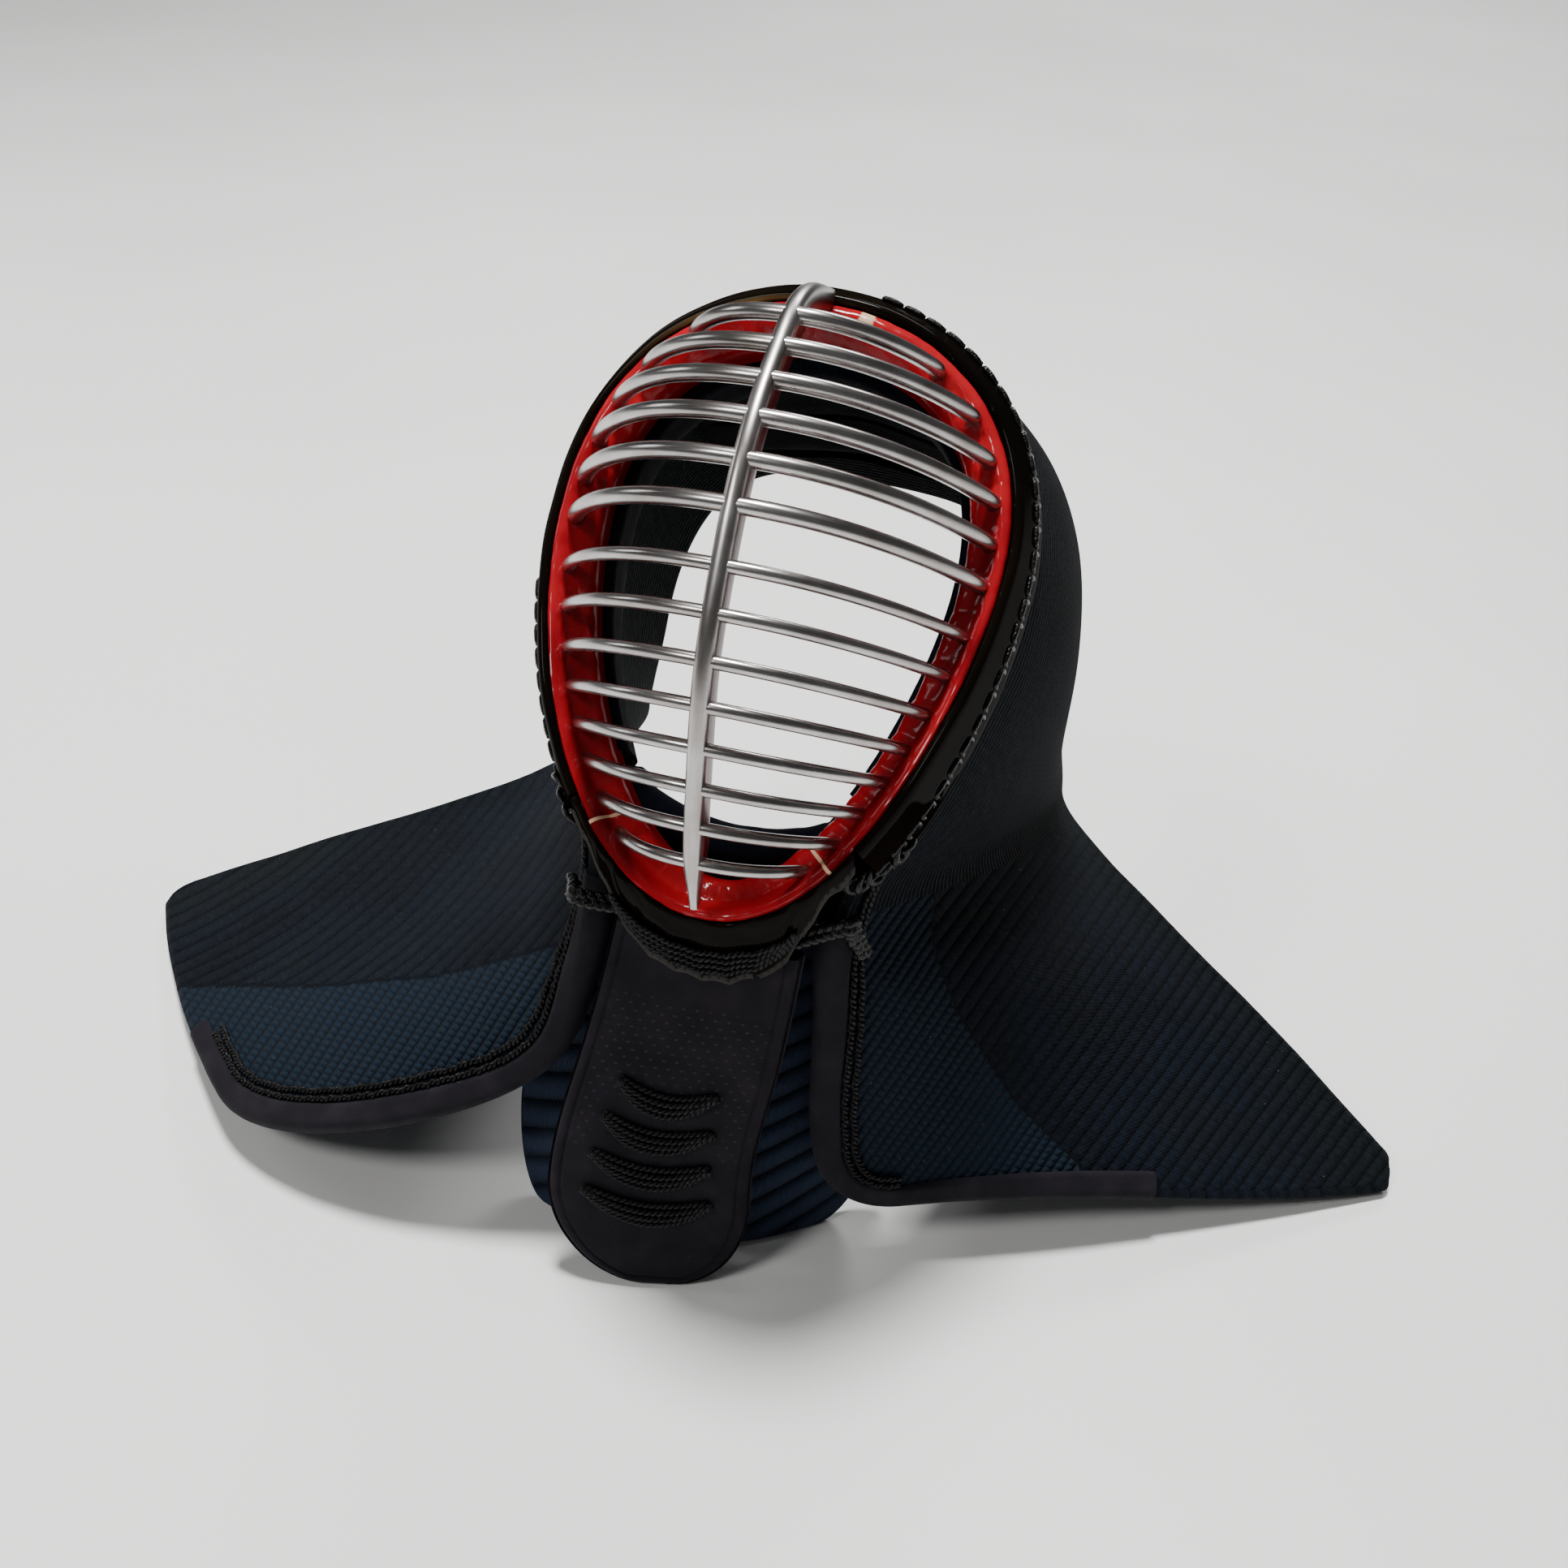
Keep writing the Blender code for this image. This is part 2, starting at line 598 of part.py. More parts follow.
def hood_grid():
    knots, rows = hood_rows()
    angles = ring_angles(-JAW, JAW)
    head = angles / (JAW * math.pi)
    wing = 1 + wing_rows()
    uu, vv = np.meshgrid(np.concatenate([-wing[::-1], head, wing]), hood_columns(), indexing="ij")
    for side, name in ((1, "right"), (-1, "left")):
        down, across = rounded_corner(side * uu - 1, vv, CORNERS[name])
        chosen = side * uu > 1
        uu, vv = np.where(chosen, side * (down + 1), uu), np.where(chosen, across, vv)
    nodes = (0.0, 1 / 3, 2 / 3, 1.0)
    points = spline(knots, rows, uu.reshape(-1))
    weights = []
    for node in nodes:
        weights.append(np.prod([(vv.reshape(-1) - other) / (node - other) for other in nodes if other != node], axis=0))
    points = sum(points[:, k] * weights[k][:, None] for k in range(4))
    return points.reshape(uu.shape + (3,))


def edge_cells(grid, side, rows, across):
    """Cells of the hood along one wing's front edge and its bottom edge, and the path round that edge."""
    last = grid.shape[0] - 1

    def row(down):
        return last - WING_ROWS + down if side > 0 else WING_ROWS - down

    def cell_row(down):
        return min(row(down), row(down + 1))

    front = [(cell_row(i), 0) for i in range(rows, WING_ROWS)]
    bottom = [(cell_row(WING_ROWS - 1), j) for j in range(1, across)]
    path = [(row(i), 0) for i in range(rows, WING_ROWS + 1)] + [(row(WING_ROWS), j) for j in range(1, across + 1)]
    return front + bottom, path


def wrap_edge(name, grid, wanted, path, material):
    """A binding folded over the edge of the hood: two flanges and the turn between them."""
    rows, columns = grid.shape[:2]
    count = rows * columns
    normal = normals_of(grid)
    points = np.array([grid[i, j] for i, j in path])
    inward = np.array([grid[min(max(i, 1), rows - 2), min(j + 1, columns - 1)] for i, j in path]) - points
    along = np.gradient(points, axis=0)
    outward = np.cross(along, np.array([normal[i, j] for i, j in path]))
    outward /= np.linalg.norm(outward, axis=1, keepdims=True)
    outward *= -np.sign((outward * inward).sum(axis=1, keepdims=True))
    reach = np.zeros_like(grid)
    for (i, j), direction in zip(path, outward):
        reach[i, j] = direction
    skins = []
    for proud in (BIND_CLEARANCE, BIND_CLEARANCE + BIND_THICK):
        lift = normal * (HOOD_THICK / 2 + proud)
        skins.append(np.concatenate([(grid + lift + reach * proud).reshape(-1, 3),
                                     (grid - lift + reach * proud).reshape(-1, 3)]))
    upper = cells(wanted, (rows, columns))
    faces = upper + [tuple(i + count for i in face)[::-1] for face in upper]
    flat = [i * columns + j for i, j in path]
    sides = {(p, q) for face in upper for p, q in zip(face, face[1:] + face[:1])}
    for p, q in zip(flat, flat[1:]):
        if (p, q) in sides:
            p, q = q, p
        faces += [(p, q, q + count), (p, q + count, p + count)]
    return thicken(name, on_floor(skins[0]), on_floor(skins[1]), faces, material)


def make_hood(materials):
    grid = hood_grid()
    normal = normals_of(grid)
    last = grid.shape[0] - 1
    split = WING_ROWS - 1
    for name, first, end in (("left_wing", 0, split), ("hood", split, last - split),
                             ("right_wing", last - split, last)):
        part = grid[first:end + 1].copy()
        for row, beside, free in ((0, 1, first == 0), (-1, -2, end == last)):
            if not free:
                step = np.cross(normal[first:end + 1][row], np.gradient(part[row], axis=0))
                step *= np.sign((step * (part[beside] - part[row])).sum(axis=1, keepdims=True))
                part[row] += step / np.linalg.norm(step, axis=1, keepdims=True) * WING_CLEARANCE / 2
        grid_sheet(name, part, HOOD_THICK, materials["indigo_quilt"], normal[first:end + 1])
    top = HOOD_THICK / 2 + CLEARANCE
    for name, side, across, braid_across in (("right", 1, RIGHT_BINDING_CELLS, RIGHT_BRAID_CELLS),
                                             ("left", -1, LEFT_BINDING_CELLS, LEFT_BRAID_CELLS)):
        wanted, path = edge_cells(grid, side, 1, across)
        wrap_edge(name + "_edge_binding", grid, wanted, path, materials["dark_suede"])
        front = [(i, 1) for i, j in wanted if j == 0][1:-1]
        low = front[-1][0]
        bottom = [(low, j) for j in range(2, braid_across)]
        grid_patch(name + "_corner_braid", grid, top, top + BRAID_THICK, front + bottom, materials["black_braid"])
    middle = grid.shape[0] // 2
    reach = round(CROWN_PAD_SHARE * HALF_TURN_STEPS)
    under = [(i, j) for i in range(middle - reach, middle + reach) for j in range(*CROWN_PAD_COLUMNS)]
    grid_patch("crown_pad", grid, -top - PAD_THICK, -top, under, materials["navy_pad"])


# Pads that the head rests in

def make_pads(materials):
    pad = materials["navy_pad"]
    top, deep = -FACING_WALL - 2 * CLEARANCE, -FACING_WALL - RING_PAD_DEPTH
    wide = RING_PAD_WIDTH
    section = [
        (-0.50 * wide, top, 0), (0.10 * wide, top, 0), (0.28 * wide, 0.65 * top + 0.35 * deep, 0),
        (0.30 * wide, 0.2 * top + 0.8 * deep, 0), (-0.05 * wide, deep, 0), (-0.38 * wide, 0.1 * top + 0.9 * deep, 0),
        (-0.60 * wide, 0.4 * top + 0.6 * deep, 0), (-0.62 * wide, 0.8 * top + 0.2 * deep, 0),
    ]
    rim_sweep("inner_ring_pad", section, ring_angles(-RING_PAD_ENDS, RING_PAD_ENDS), pad)
    swept("chin_pad", chin_pad_rings(), pad)


def chin_pad_rings():
    """Rings of the fat roll under the chin, between the ends of the ring pad."""
    angle = (RING_PAD_ENDS + CHIN_PAD_GAP) * math.pi
    a, b = egg(angle)
    shape = np.array(CHIN_PAD_PATH)
    knots = np.linspace(-1, 1, len(shape))
    at = np.linspace(-1, 1, 13)
    line_a = spline(knots, shape[:, 0], at) * a
    line_b = spline(knots, shape[:, 1], at) * b
    line = place(line_a, line_b, ends_depth(line_b) - FACING_WALL - CHIN_PAD_SINK)
    up = place(0, 0, 1) - place(0, 0, 0)
    return tube_rings(line, (CHIN_PAD_HEIGHT / 2, CHIN_PAD_LENGTH / 2), 8, up=up)


# Throat flaps and chin guard

def flap_grid(top, setback, foot_y, half_width, shares, bow, rows, columns):
    """Middle surface of a flap that hangs from the chin and ends in a flat foot on the floor; the shares
    are its width at the top and at the foot."""
    neck_share, foot_share = shares
    down = np.linspace(0, 1, rows)
    across = np.linspace(-1, 1, columns)
    round_off = np.clip((down - 1 + FLAP_ROUND) / FLAP_ROUND, 0, 1)
    width = foot_share + (1 - foot_share) * np.sqrt(1 - round_off**2)
    width *= half_width * (neck_share + (1 - neck_share) * np.clip(down / (1 - FLAP_ROUND), 0, 1))
    turn = FLAP_YAW * down**1.5
    x = FLAP_DRIFT * down**1.5
    y = setback + (foot_y - setback) * down
    z = top * (1 - down) - FOOT_SINK * down
    offset = across[None, :] * width[:, None]
    curve = bow * (offset / half_width) ** 2
    return np.stack([x[:, None] + offset * np.cos(turn)[:, None],
                     y[:, None] + offset * np.sin(turn)[:, None] + curve,
                     np.broadcast_to(z[:, None], offset.shape)], axis=2)


def make_flaps(materials):
    guard = chin_grid()
    edge = guard[len(guard) // 2, -1]
    top = edge[2] + FLAP_TUCK
    behind = edge[1] + CHIN_THICK / 2 + CLEARANCE + FLAP_THICK / 2
    flap = flap_grid(top, behind * top / edge[2], 0.0, FLAP_HALF_WIDTH, (FLAP_NECK, FLAP_FOOT), 0.0, 14, 7)
    grid_sheet("throat_flap", flap, FLAP_THICK, materials["dark_suede"])
    pad = chin_pad_rings()
    pad = pad[len(pad) // 2]
    pad = pad[np.argmin(pad[:, 2])]
    inner = flap_grid(pad[2] - CLEARANCE, pad[1], INNER_FLAP_FOOT_Y, INNER_FLAP_HALF_WIDTH,
                      (INNER_FLAP_NECK, INNER_FLAP_FOOT), INNER_FLAP_BOW, 12, 9)
    grid_sheet("inner_throat_flap", inner, INNER_FLAP_THICK, materials["indigo_quilt"])
    for number in range(CRESCENT_COUNT):
        make_crescent(number, flap, materials["black_braid"])


def make_crescent(number, flap, material):
    """A raised bow of braid on the flap's outer face, its ends higher than its middle."""
    outward = -normals_of(flap)
    if outward[0, 0, 1] > 0:
        outward = -outward
    rows, columns = flap.shape[:2]
    across = np.linspace(-1, 1, 9)
    middle = CRESCENT_FIRST + CRESCENT_STEP * number
    half = CRESCENT_HALF_HEIGHT * np.sqrt(np.clip(1 - across**2, 0.08, 1))
    centre = middle - CRESCENT_BOW * across**2
    row = np.stack([centre - half, centre, centre + half], axis=1) * (rows - 1)
    column = ((across * CRESCENT_HALF_WIDTH + 1) / 2 * (columns - 1))[:, None] + 0 * row

    def read(field):
        i, j = np.clip(row.astype(int), 0, rows - 2), np.clip(column.astype(int), 0, columns - 2)
        p, q = (row - i)[..., None], (column - j)[..., None]
        return (field[i, j] * (1 - p) * (1 - q) + field[i + 1, j] * p * (1 - q)
                + field[i, j + 1] * (1 - p) * q + field[i + 1, j + 1] * p * q)

    base, lift = read(flap), read(outward)
    low = FLAP_THICK / 2 + CLEARANCE
    high = low + CRESCENT_THICK * np.array([0.45, 1.0, 0.45])[None, :, None]
    faces = cells([(i, j) for i in range(len(across) - 1) for j in range(2)], row.shape)
    thicken("flap_braid_%d" % (number + 1), (base + lift * low).reshape(-1, 3),
            (base + lift * high).reshape(-1, 3), faces, material)


def chin_grid():
    """Middle surface of the chin guard, from the facing's lip down to its scalloped edge."""
    angles = ring_angles(CHIN_GUARD_ENDS, 2 - CHIN_GUARD_ENDS)
    share = (angles / math.pi - 1) / (1 - CHIN_GUARD_ENDS)
    top = rim(angles, FACING_LIP + CHIN_THICK / 2 + CLEARANCE, -0.0005, 1)
    drop = CHIN_DROP * (CHIN_END_SHARE + (1 - CHIN_END_SHARE) * np.cos(share * math.pi / 2).clip(0) ** 1.5)
    drop = drop - CHIN_SCALLOP * np.abs(np.sin(share * math.pi * SCALLOPS / 2))
    down = np.linspace(0, 1, 5)
    grid = top[:, None, :] + np.zeros((1, len(down), 1))
    grid[..., 2] -= drop[:, None] * down[None, :]
    grid[..., 1] += (CHIN_LEAN * drop)[:, None] * down[None, :] ** 1.5
    return grid


def make_chin(materials):
    grid = chin_grid()
    if normals_of(grid)[0, 0, 1] > 0:
        grid = grid[::-1]
    grid_sheet("chin_guard", grid, CHIN_THICK, materials["black_lacquer"])
    low = CHIN_THICK / 2 + CLEARANCE
    rows = grid.shape[0] - 1
    wanted = [(i, j) for i in range(1, rows - 1) for j in (1, 2)]
    grid_patch("chin_braid", grid, low, low + CRESCENT_THICK, wanted, materials["black_braid"])
    for name, side in (("right_tie_loop", 1), ("left_tie_loop", -1)):
        swept(name, loop_rings(side), materials["black_braid"])


def loop_rings(side):
    """Rings of a tie loop that runs from behind the chin guard over the binding at the wing's front edge."""
    guard = chin_grid()
    middle = len(guard) // 2
    start = guard[middle - side * (middle // 2), -1].copy()
    radius = LOOP_DIAMETER / 2
    start[1] += CHIN_THICK / 2 + LOOP_CLEARANCE + radius
    start[2] += radius
    grid = hood_grid()
    normal = normals_of(grid)
    row = grid.shape[0] - WING_ROWS if side > 0 else WING_ROWS - 1
    edge, face = (grid[row] + grid[row + side]) / 2, (normal[row] + normal[row + side]) / 2
    outward = edge[0] - edge[1]
    outward /= np.linalg.norm(outward)
    proud = BIND_CLEARANCE + BIND_THICK
    lift = HOOD_THICK / 2 + proud + LOOP_CLEARANCE + radius
    corner = edge[0] + face[0] * (HOOD_THICK / 2 + proud) + outward * proud
    turn = corner + (face[0] + outward) * (radius + LOOP_CLEARANCE)
    over = edge + face * lift
    path = np.stack([start, turn, over[0], (over[0] + over[1]) / 2, over[1], over[2]])
    line = spline(np.arange(len(path)), path, np.linspace(0, len(path) - 1, 11))
    return tube_rings(line, (radius, radius), 6)


def make_all():
    clear_scene()
    materials = make_materials()
    make_grill(materials)
    make_facing(materials)
    make_band(materials)
    make_hood(materials)
    make_pads(materials)
    make_flaps(materials)
    make_chin(materials)


if __name__ == "__main__":
    make_all()
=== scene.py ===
# Kendo helmet on a pale floor: lacquered face guard, quilted hood and throat flaps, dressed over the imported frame.
# Frame: X across, the face looks towards -Y, Z up, floor at zero, metres.

import math

import bmesh
import bpy
import numpy as np
from mathutils import Matrix


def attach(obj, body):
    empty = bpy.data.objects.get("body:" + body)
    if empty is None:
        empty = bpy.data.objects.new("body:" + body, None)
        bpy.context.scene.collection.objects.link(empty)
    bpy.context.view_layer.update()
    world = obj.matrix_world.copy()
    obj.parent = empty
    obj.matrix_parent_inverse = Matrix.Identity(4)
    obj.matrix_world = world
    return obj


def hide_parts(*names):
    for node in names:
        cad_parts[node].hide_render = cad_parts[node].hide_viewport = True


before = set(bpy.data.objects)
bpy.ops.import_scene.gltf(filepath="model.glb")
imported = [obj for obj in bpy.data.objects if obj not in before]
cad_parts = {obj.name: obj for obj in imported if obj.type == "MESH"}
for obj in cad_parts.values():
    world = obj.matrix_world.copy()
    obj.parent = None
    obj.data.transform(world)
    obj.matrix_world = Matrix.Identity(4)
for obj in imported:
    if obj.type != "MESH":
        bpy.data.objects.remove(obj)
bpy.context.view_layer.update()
print("frame loaded")

# The guard leans back; its own frame is a across, b up along its plane, c out of the face
guard = dict(
    lean=math.radians(42.9), rise=0.314, setback=0.096, halfWidth=0.0814, halfHeight=0.118, drop=0.0043,
    taper=0.25, shoulder=0.12, browForward=0.0182, endsBow=0.0047, lip=0.007, lipRaise=0.0023, lipSlope=0.0083,
    stations=20, gap=0.0004, meanRadius=0.1,
)


# Natural cubic spline: on each span the bending at its two ends fixes a cubic, and bending is nil at both ends
def spline(knots, values, at):
    knots, values, at = np.asarray(knots, float), np.asarray(values, float), np.asarray(at, float)
    count = len(knots)
    step = np.diff(knots)
    slope = np.diff(values, axis=0) / step.reshape((-1,) + (1,) * (values.ndim - 1))
    matrix, right = np.eye(count), np.zeros_like(values)
    for i in range(1, count - 1):
        matrix[i, i - 1:i + 2] = step[i - 1], 2 * (step[i - 1] + step[i]), step[i]
        right[i] = 6 * (slope[i] - slope[i - 1])
    bend = np.linalg.solve(matrix, right.reshape(count, -1)).reshape(values.shape)
    i = np.clip(np.searchsorted(knots, at) - 1, 0, count - 2)
    shape = (-1,) + (1,) * (values.ndim - 1)
    h = step[i].reshape(shape)
    before, after = (at - knots[i]).reshape(shape), (knots[i + 1] - at).reshape(shape)
    cubic = (bend[i] * after**3 + bend[i + 1] * before**3) / (6 * h)
    return cubic + (values[i] / h - bend[i] * h / 6) * after + (values[i + 1] / h - bend[i + 1] * h / 6) * before


# Guard frame to world: turned about X by the lean, then moved to the guard's centre
def place(a, b, c):
    a, b, c = np.broadcast_arrays(a, b, c)
    sin, cos = math.sin(guard["lean"]), math.cos(guard["lean"])
    return np.stack([a, guard["setback"] + b * sin - c * cos, guard["rise"] + b * cos + c * sin], axis=-1)


def turned(a, b, c):
    return place(a, b, c) - place(0.0, 0.0, 0.0)


# Egg outline: a sine across, swollen by the cosine of the angle and by its square
def egg(angle):
    cos = np.cos(angle)
    width = guard["halfWidth"] * np.sin(angle) * (1 + guard["taper"] * cos + guard["shoulder"] * cos**2)
    return width, guard["halfHeight"] * cos - guard["drop"]


def eggNormal(angle):
    a0, b0 = egg(angle - 1e-5)
    a1, b1 = egg(angle + 1e-5)
    length = np.hypot(a1 - a0, b1 - b0)
    return (b0 - b1) / length, (a1 - a0) / length


# The bar ends twist with the cube of the height and bow with its square
def endsDepth(b):
    share = b / guard["halfHeight"]
    return guard["browForward"] * share**3 - guard["endsBow"] * share**2


# A point a distance out from the egg and a depth from the bar ends; lip 1 levels it to the facing's edge
def rim(angle, out, depth, lip=0.0):
    a, b = egg(angle)
    na, nb = eggNormal(angle)
    a, b = a + na * out, b + nb * out
    level = guard["lipRaise"] - guard["lipSlope"] * b / guard["halfHeight"]
    return place(a, b, endsDepth(b) + lip * level + depth)


def unit(v):
    return v / np.maximum(np.linalg.norm(v, axis=-1, keepdims=True), 1e-12)


# Length run along a line, at each of its points
def lengthAlong(line):
    return np.concatenate([[0], np.cumsum(np.linalg.norm(np.diff(line, axis=0), axis=1))])


# A ring drawn in towards its middle
def drawnIn(ring, share):
    return ring.mean(axis=0) + (ring - ring.mean(axis=0)) * share


# Height of a bump about a place, a bell of the given reach
def bell(x, reach):
    return np.exp(-(x / reach) ** 2)


# Normal of a surface of two places, by small steps each way
def surfaceNormal(surface, p, q, stepP, stepQ):
    return unit(np.cross(surface(p + stepP, q) - surface(p - stepP, q), surface(p, q + stepQ) - surface(p, q - stepQ)))


# Normal of a grid: the cross product of its two directions
def gridNormal(grid):
    return unit(np.cross(np.gradient(grid, axis=0), np.gradient(grid, axis=1)))


# Smooth seeded noise: a few sines at odd angles, added up
def ripple(x, y, scale, seed=0):
    total = 0
    for k in range(5):
        turn = 1.7 * k + seed * 2.1
        wave = (x * math.cos(turn) + y * math.sin(turn)) * 2 * math.pi / scale * (1 + 0.37 * k)
        total = total + np.sin(wave + seed * 5.3 + k) / (1 + k)
    return total / 2.3


def smoothStep(x, low, high):
    t = np.clip((x - low) / (high - low), 0, 1)
    return t * t * (3 - 2 * t)


# Quads of a grid of points in rows and columns, either way closed on itself
def gridQuads(rows, columns, closeRows=False, closeColumns=False, start=0):
    i = np.arange(rows if closeRows else rows - 1)[:, None]
    j = np.arange(columns if closeColumns else columns - 1)[None, :]
    i2, j2 = (i + 1) % rows, (j + 1) % columns
    quads = np.stack(np.broadcast_arrays(i * columns + j, i * columns + j2, i2 * columns + j2, i2 * columns + j), -1)
    return quads.reshape(-1, 4) + start


# One mesh object at the origin from points, quads, and values at the points: a map in metres and named masks
def makePiece(name, points, quads, material, uv=None, masks=None, replaces=(), slot=None, weld=1e-6, sharp=50):
    points = np.asarray(points, np.float32).reshape(-1, 3)
    quads = np.asarray(quads, np.int32)
    mesh = bpy.data.meshes.new(name)
    mesh.vertices.add(len(points))
    mesh.vertices.foreach_set("co", points.ravel())
    mesh.loops.add(quads.size)
    mesh.loops.foreach_set("vertex_index", quads.ravel())
    mesh.polygons.add(len(quads))
    mesh.polygons.foreach_set("loop_start", np.arange(0, quads.size, quads.shape[1], dtype=np.int32))
    mesh.update(calc_edges=True)
    if uv is not None:
        layer = mesh.uv_layers.new(name="cloth")
        layer.data.foreach_set("uv", np.asarray(uv, np.float32).reshape(-1, 2)[quads.ravel()].ravel())
    for label, values in (masks or {}).items():
        attribute = mesh.attributes.new(label, "FLOAT", "POINT")
        attribute.data.foreach_set("value", np.asarray(values, np.float32).ravel())
    work = bmesh.new()
    work.from_mesh(mesh)
    if weld:
        bmesh.ops.remove_doubles(work, verts=work.verts, dist=weld)
        bmesh.ops.dissolve_degenerate(work, edges=work.edges, dist=1e-7)
    bmesh.ops.recalc_face_normals(work, faces=work.faces)
    work.to_mesh(mesh)
    work.free()
    mesh.validate()
    mesh.shade_smooth()
    if sharp:
        mesh.set_sharp_from_angle(angle=math.radians(sharp))
    obj = bpy.data.objects.new(name, mesh)
    bpy.context.scene.collection.objects.link(obj)
    mesh.materials.append(material)
    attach(obj, "root")
    if replaces:
        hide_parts(*replaces)
    return obj


# Closed sheet about a middle surface: its outer skin, a rounded edge, its inner skin and the other edge, as one loop
# of columns for every row; proud raises the outer skin and under the inner one
def closedSheet(name, grid, thick, material, uv, proud=0.0, under=0.0, masks=None, roundness=0.4, **more):
    rows, columns = grid.shape[:2]
    normal = gridNormal(grid)
    thick, proud, under = (np.broadcast_to(field, (rows, columns))[..., None] for field in (thick, proud, under))
    outer, inner = grid + normal * (thick / 2 + proud), grid - normal * (thick / 2 + under)
    edges = []
    for edge, beside in ((0, 1), (-1, -2)):
        away = unit(grid[:, [edge]] - grid[:, [beside]]) * thick[:, [edge]] * roundness
        slim = normal[:, [edge]] * thick[:, [edge]] * 0.27
        edges.append([grid[:, [edge]] + away + slim, grid[:, [edge]] + away - slim])
    ring = np.concatenate([outer, *edges[1], inner[:, ::-1], *edges[0][::-1]], axis=1)
    count = ring.shape[1]

    def around(field):
        body = [field, field[:, -1:], field[:, -1:], field[:, ::-1], field[:, :1], field[:, :1]]
        body = np.concatenate(body, axis=1)
        return np.concatenate([body[:1], body, body[-1:]])

    middle = around(grid)
    ends = []
    for edge, beside in ((0, 1), (-1, -2)):
        away = unit(ring[edge] - ring[beside]) * thick[edge, :1] * roundness
        ends.append((ring[edge] * 0.55 + middle[edge] * 0.45 + away)[None])
    ring = np.concatenate([ends[0], ring, ends[1]])
    quads = [gridQuads(rows + 2, count, closeColumns=True)]
    left = np.arange(columns - 1)
    right = 2 * columns + 1 - left
    for base in (0, (rows + 1) * count):
        quads.append(np.stack([left, left + 1, right - 1, right], -1) + base)
        quads.append(np.array([np.arange(columns - 1, columns + 3), [0, right[0], right[0] + 1, count - 1]]) + base)
    side = np.concatenate([np.ones(columns), [1, 0], np.zeros(columns), [0, 1]])
    fields = {"outside": np.broadcast_to(side, (rows + 2, count))}
    for label, values in (masks or {}).items():
        fields[label] = around(np.broadcast_to(values, (rows, columns)))
    return makePiece(name, ring, np.concatenate(quads), material, uv=around(uv), masks=fields, **more)


# Tube: an oval ring carried along a line, kept upright by a reference direction, with both ends closed to a dome
def tubePoints(line, wide, tall, sides, up=(0.0, 0.0, 1.0), domed=True):
    line = np.asarray(line, float)
    along = unit(np.gradient(line, axis=0))
    side = unit(np.cross(along, np.asarray(up, float)))
    rise = np.cross(side, along)
    turn = (np.arange(sides) + 0.5) * 2 * math.pi / sides
    wide, tall = (np.broadcast_to(size, (len(line),))[:, None, None] for size in (wide, tall))
    ring = side[:, None] * np.cos(turn)[None, :, None] * wide + rise[:, None] * np.sin(turn)[None, :, None] * tall
    rings = line[:, None] + ring
    if domed:
        ends = []
        for edge, sign in ((0, -1), (-1, 1)):
            reach = along[edge] * sign * float(np.minimum(wide, tall)[edge, 0, 0]) * 0.8
            ends.append([line[edge] + ring[edge] * math.sqrt(1 - share**2) + reach * share
                         for share in (0.45, 0.8, 1.0)])
        rings = np.concatenate([ends[0][::-1], rings, ends[1]])
    return rings


# Many tubes as one list of points, quads and a map that runs round and along each
def joinTubes(tubes):
    points, quads, maps, start = [], [], [], 0
    for rings in tubes:
        rows, sides = rings.shape[:2]
        points.append(rings.reshape(-1, 3))
        quads.append(gridQuads(rows, sides, closeColumns=True, start=start))
        u, v = np.meshgrid(lengthAlong(rings.mean(axis=1)), np.arange(sides) / sides, indexing="ij")
        maps.append(np.stack([u, v], -1).reshape(-1, 2))
        start += rows * sides
    return np.concatenate(points), np.concatenate(quads), np.concatenate(maps)


# One piece of cord from its tubes
def makeCord(name, tubes, material, replaces=()):
    points, quads, run = joinTubes(tubes)
    return makePiece(name, points, quads, material, uv=run, replaces=replaces, slot="black_braid", weld=0, sharp=0)


# A line read again at even steps along its length; columns past the third, such as a normal, go with it
def evenly(line, step):
    run = lengthAlong(line[:, :3])
    at = np.linspace(0, run[-1], max(8, int(run[-1] / step)))
    return np.stack([np.interp(at, run, line[:, k]) for k in range(line.shape[1])], axis=1)


# Cord laid on a surface: two strands that turn about the line as a helix, flattened towards the surface; a wobble
# is a sideways distance at each length along it
def laidCord(grid, normal, lift, step, radius, pitch, sides, wobble=None):
    both = evenly(np.concatenate([grid + normal * lift, normal], axis=1), step)
    line, normal = both[:, :3], unit(both[:, 3:])
    if wobble:
        sideways = unit(np.cross(np.gradient(line, axis=0), normal))
        line = line + sideways * wobble(np.arange(len(line)) * step)[:, None]
    side = unit(np.cross(unit(np.gradient(line, axis=0)), normal))
    turn = 2 * math.pi * lengthAlong(line) / pitch
    made = []
    for half in (0, math.pi):
        path = line + (side * np.cos(turn + half)[:, None] + normal * np.sin(turn + half)[:, None] * 0.8) * radius[0]
        made.append(tubePoints(path, radius[1], radius[1], sides, up=normal.mean(axis=0)))
    return made


# Camera of the photograph: where it stands, its three axes and its focal length in the photograph's pixels
lookout = dict(
    location=(0.1354, -0.4253, 0.6003), right=(0.963, 0.264, 0.0545), up=(-0.1948, 0.5422, 0.8173),
    back=(0.1862, -0.7977, 0.5736), lens=34.941, sensor=36.0, frame=1932,
)


# Where points of the frame fall in the photograph, in its pixels
def seenAt(points):
    delta = points - np.array(lookout["location"])
    right, up, back = (delta @ np.array(lookout[key]) for key in ("right", "up", "back"))
    focal = lookout["lens"] / lookout["sensor"] * lookout["frame"]
    return lookout["frame"] / 2 - right / back * focal, lookout["frame"] / 2 + up / back * focal


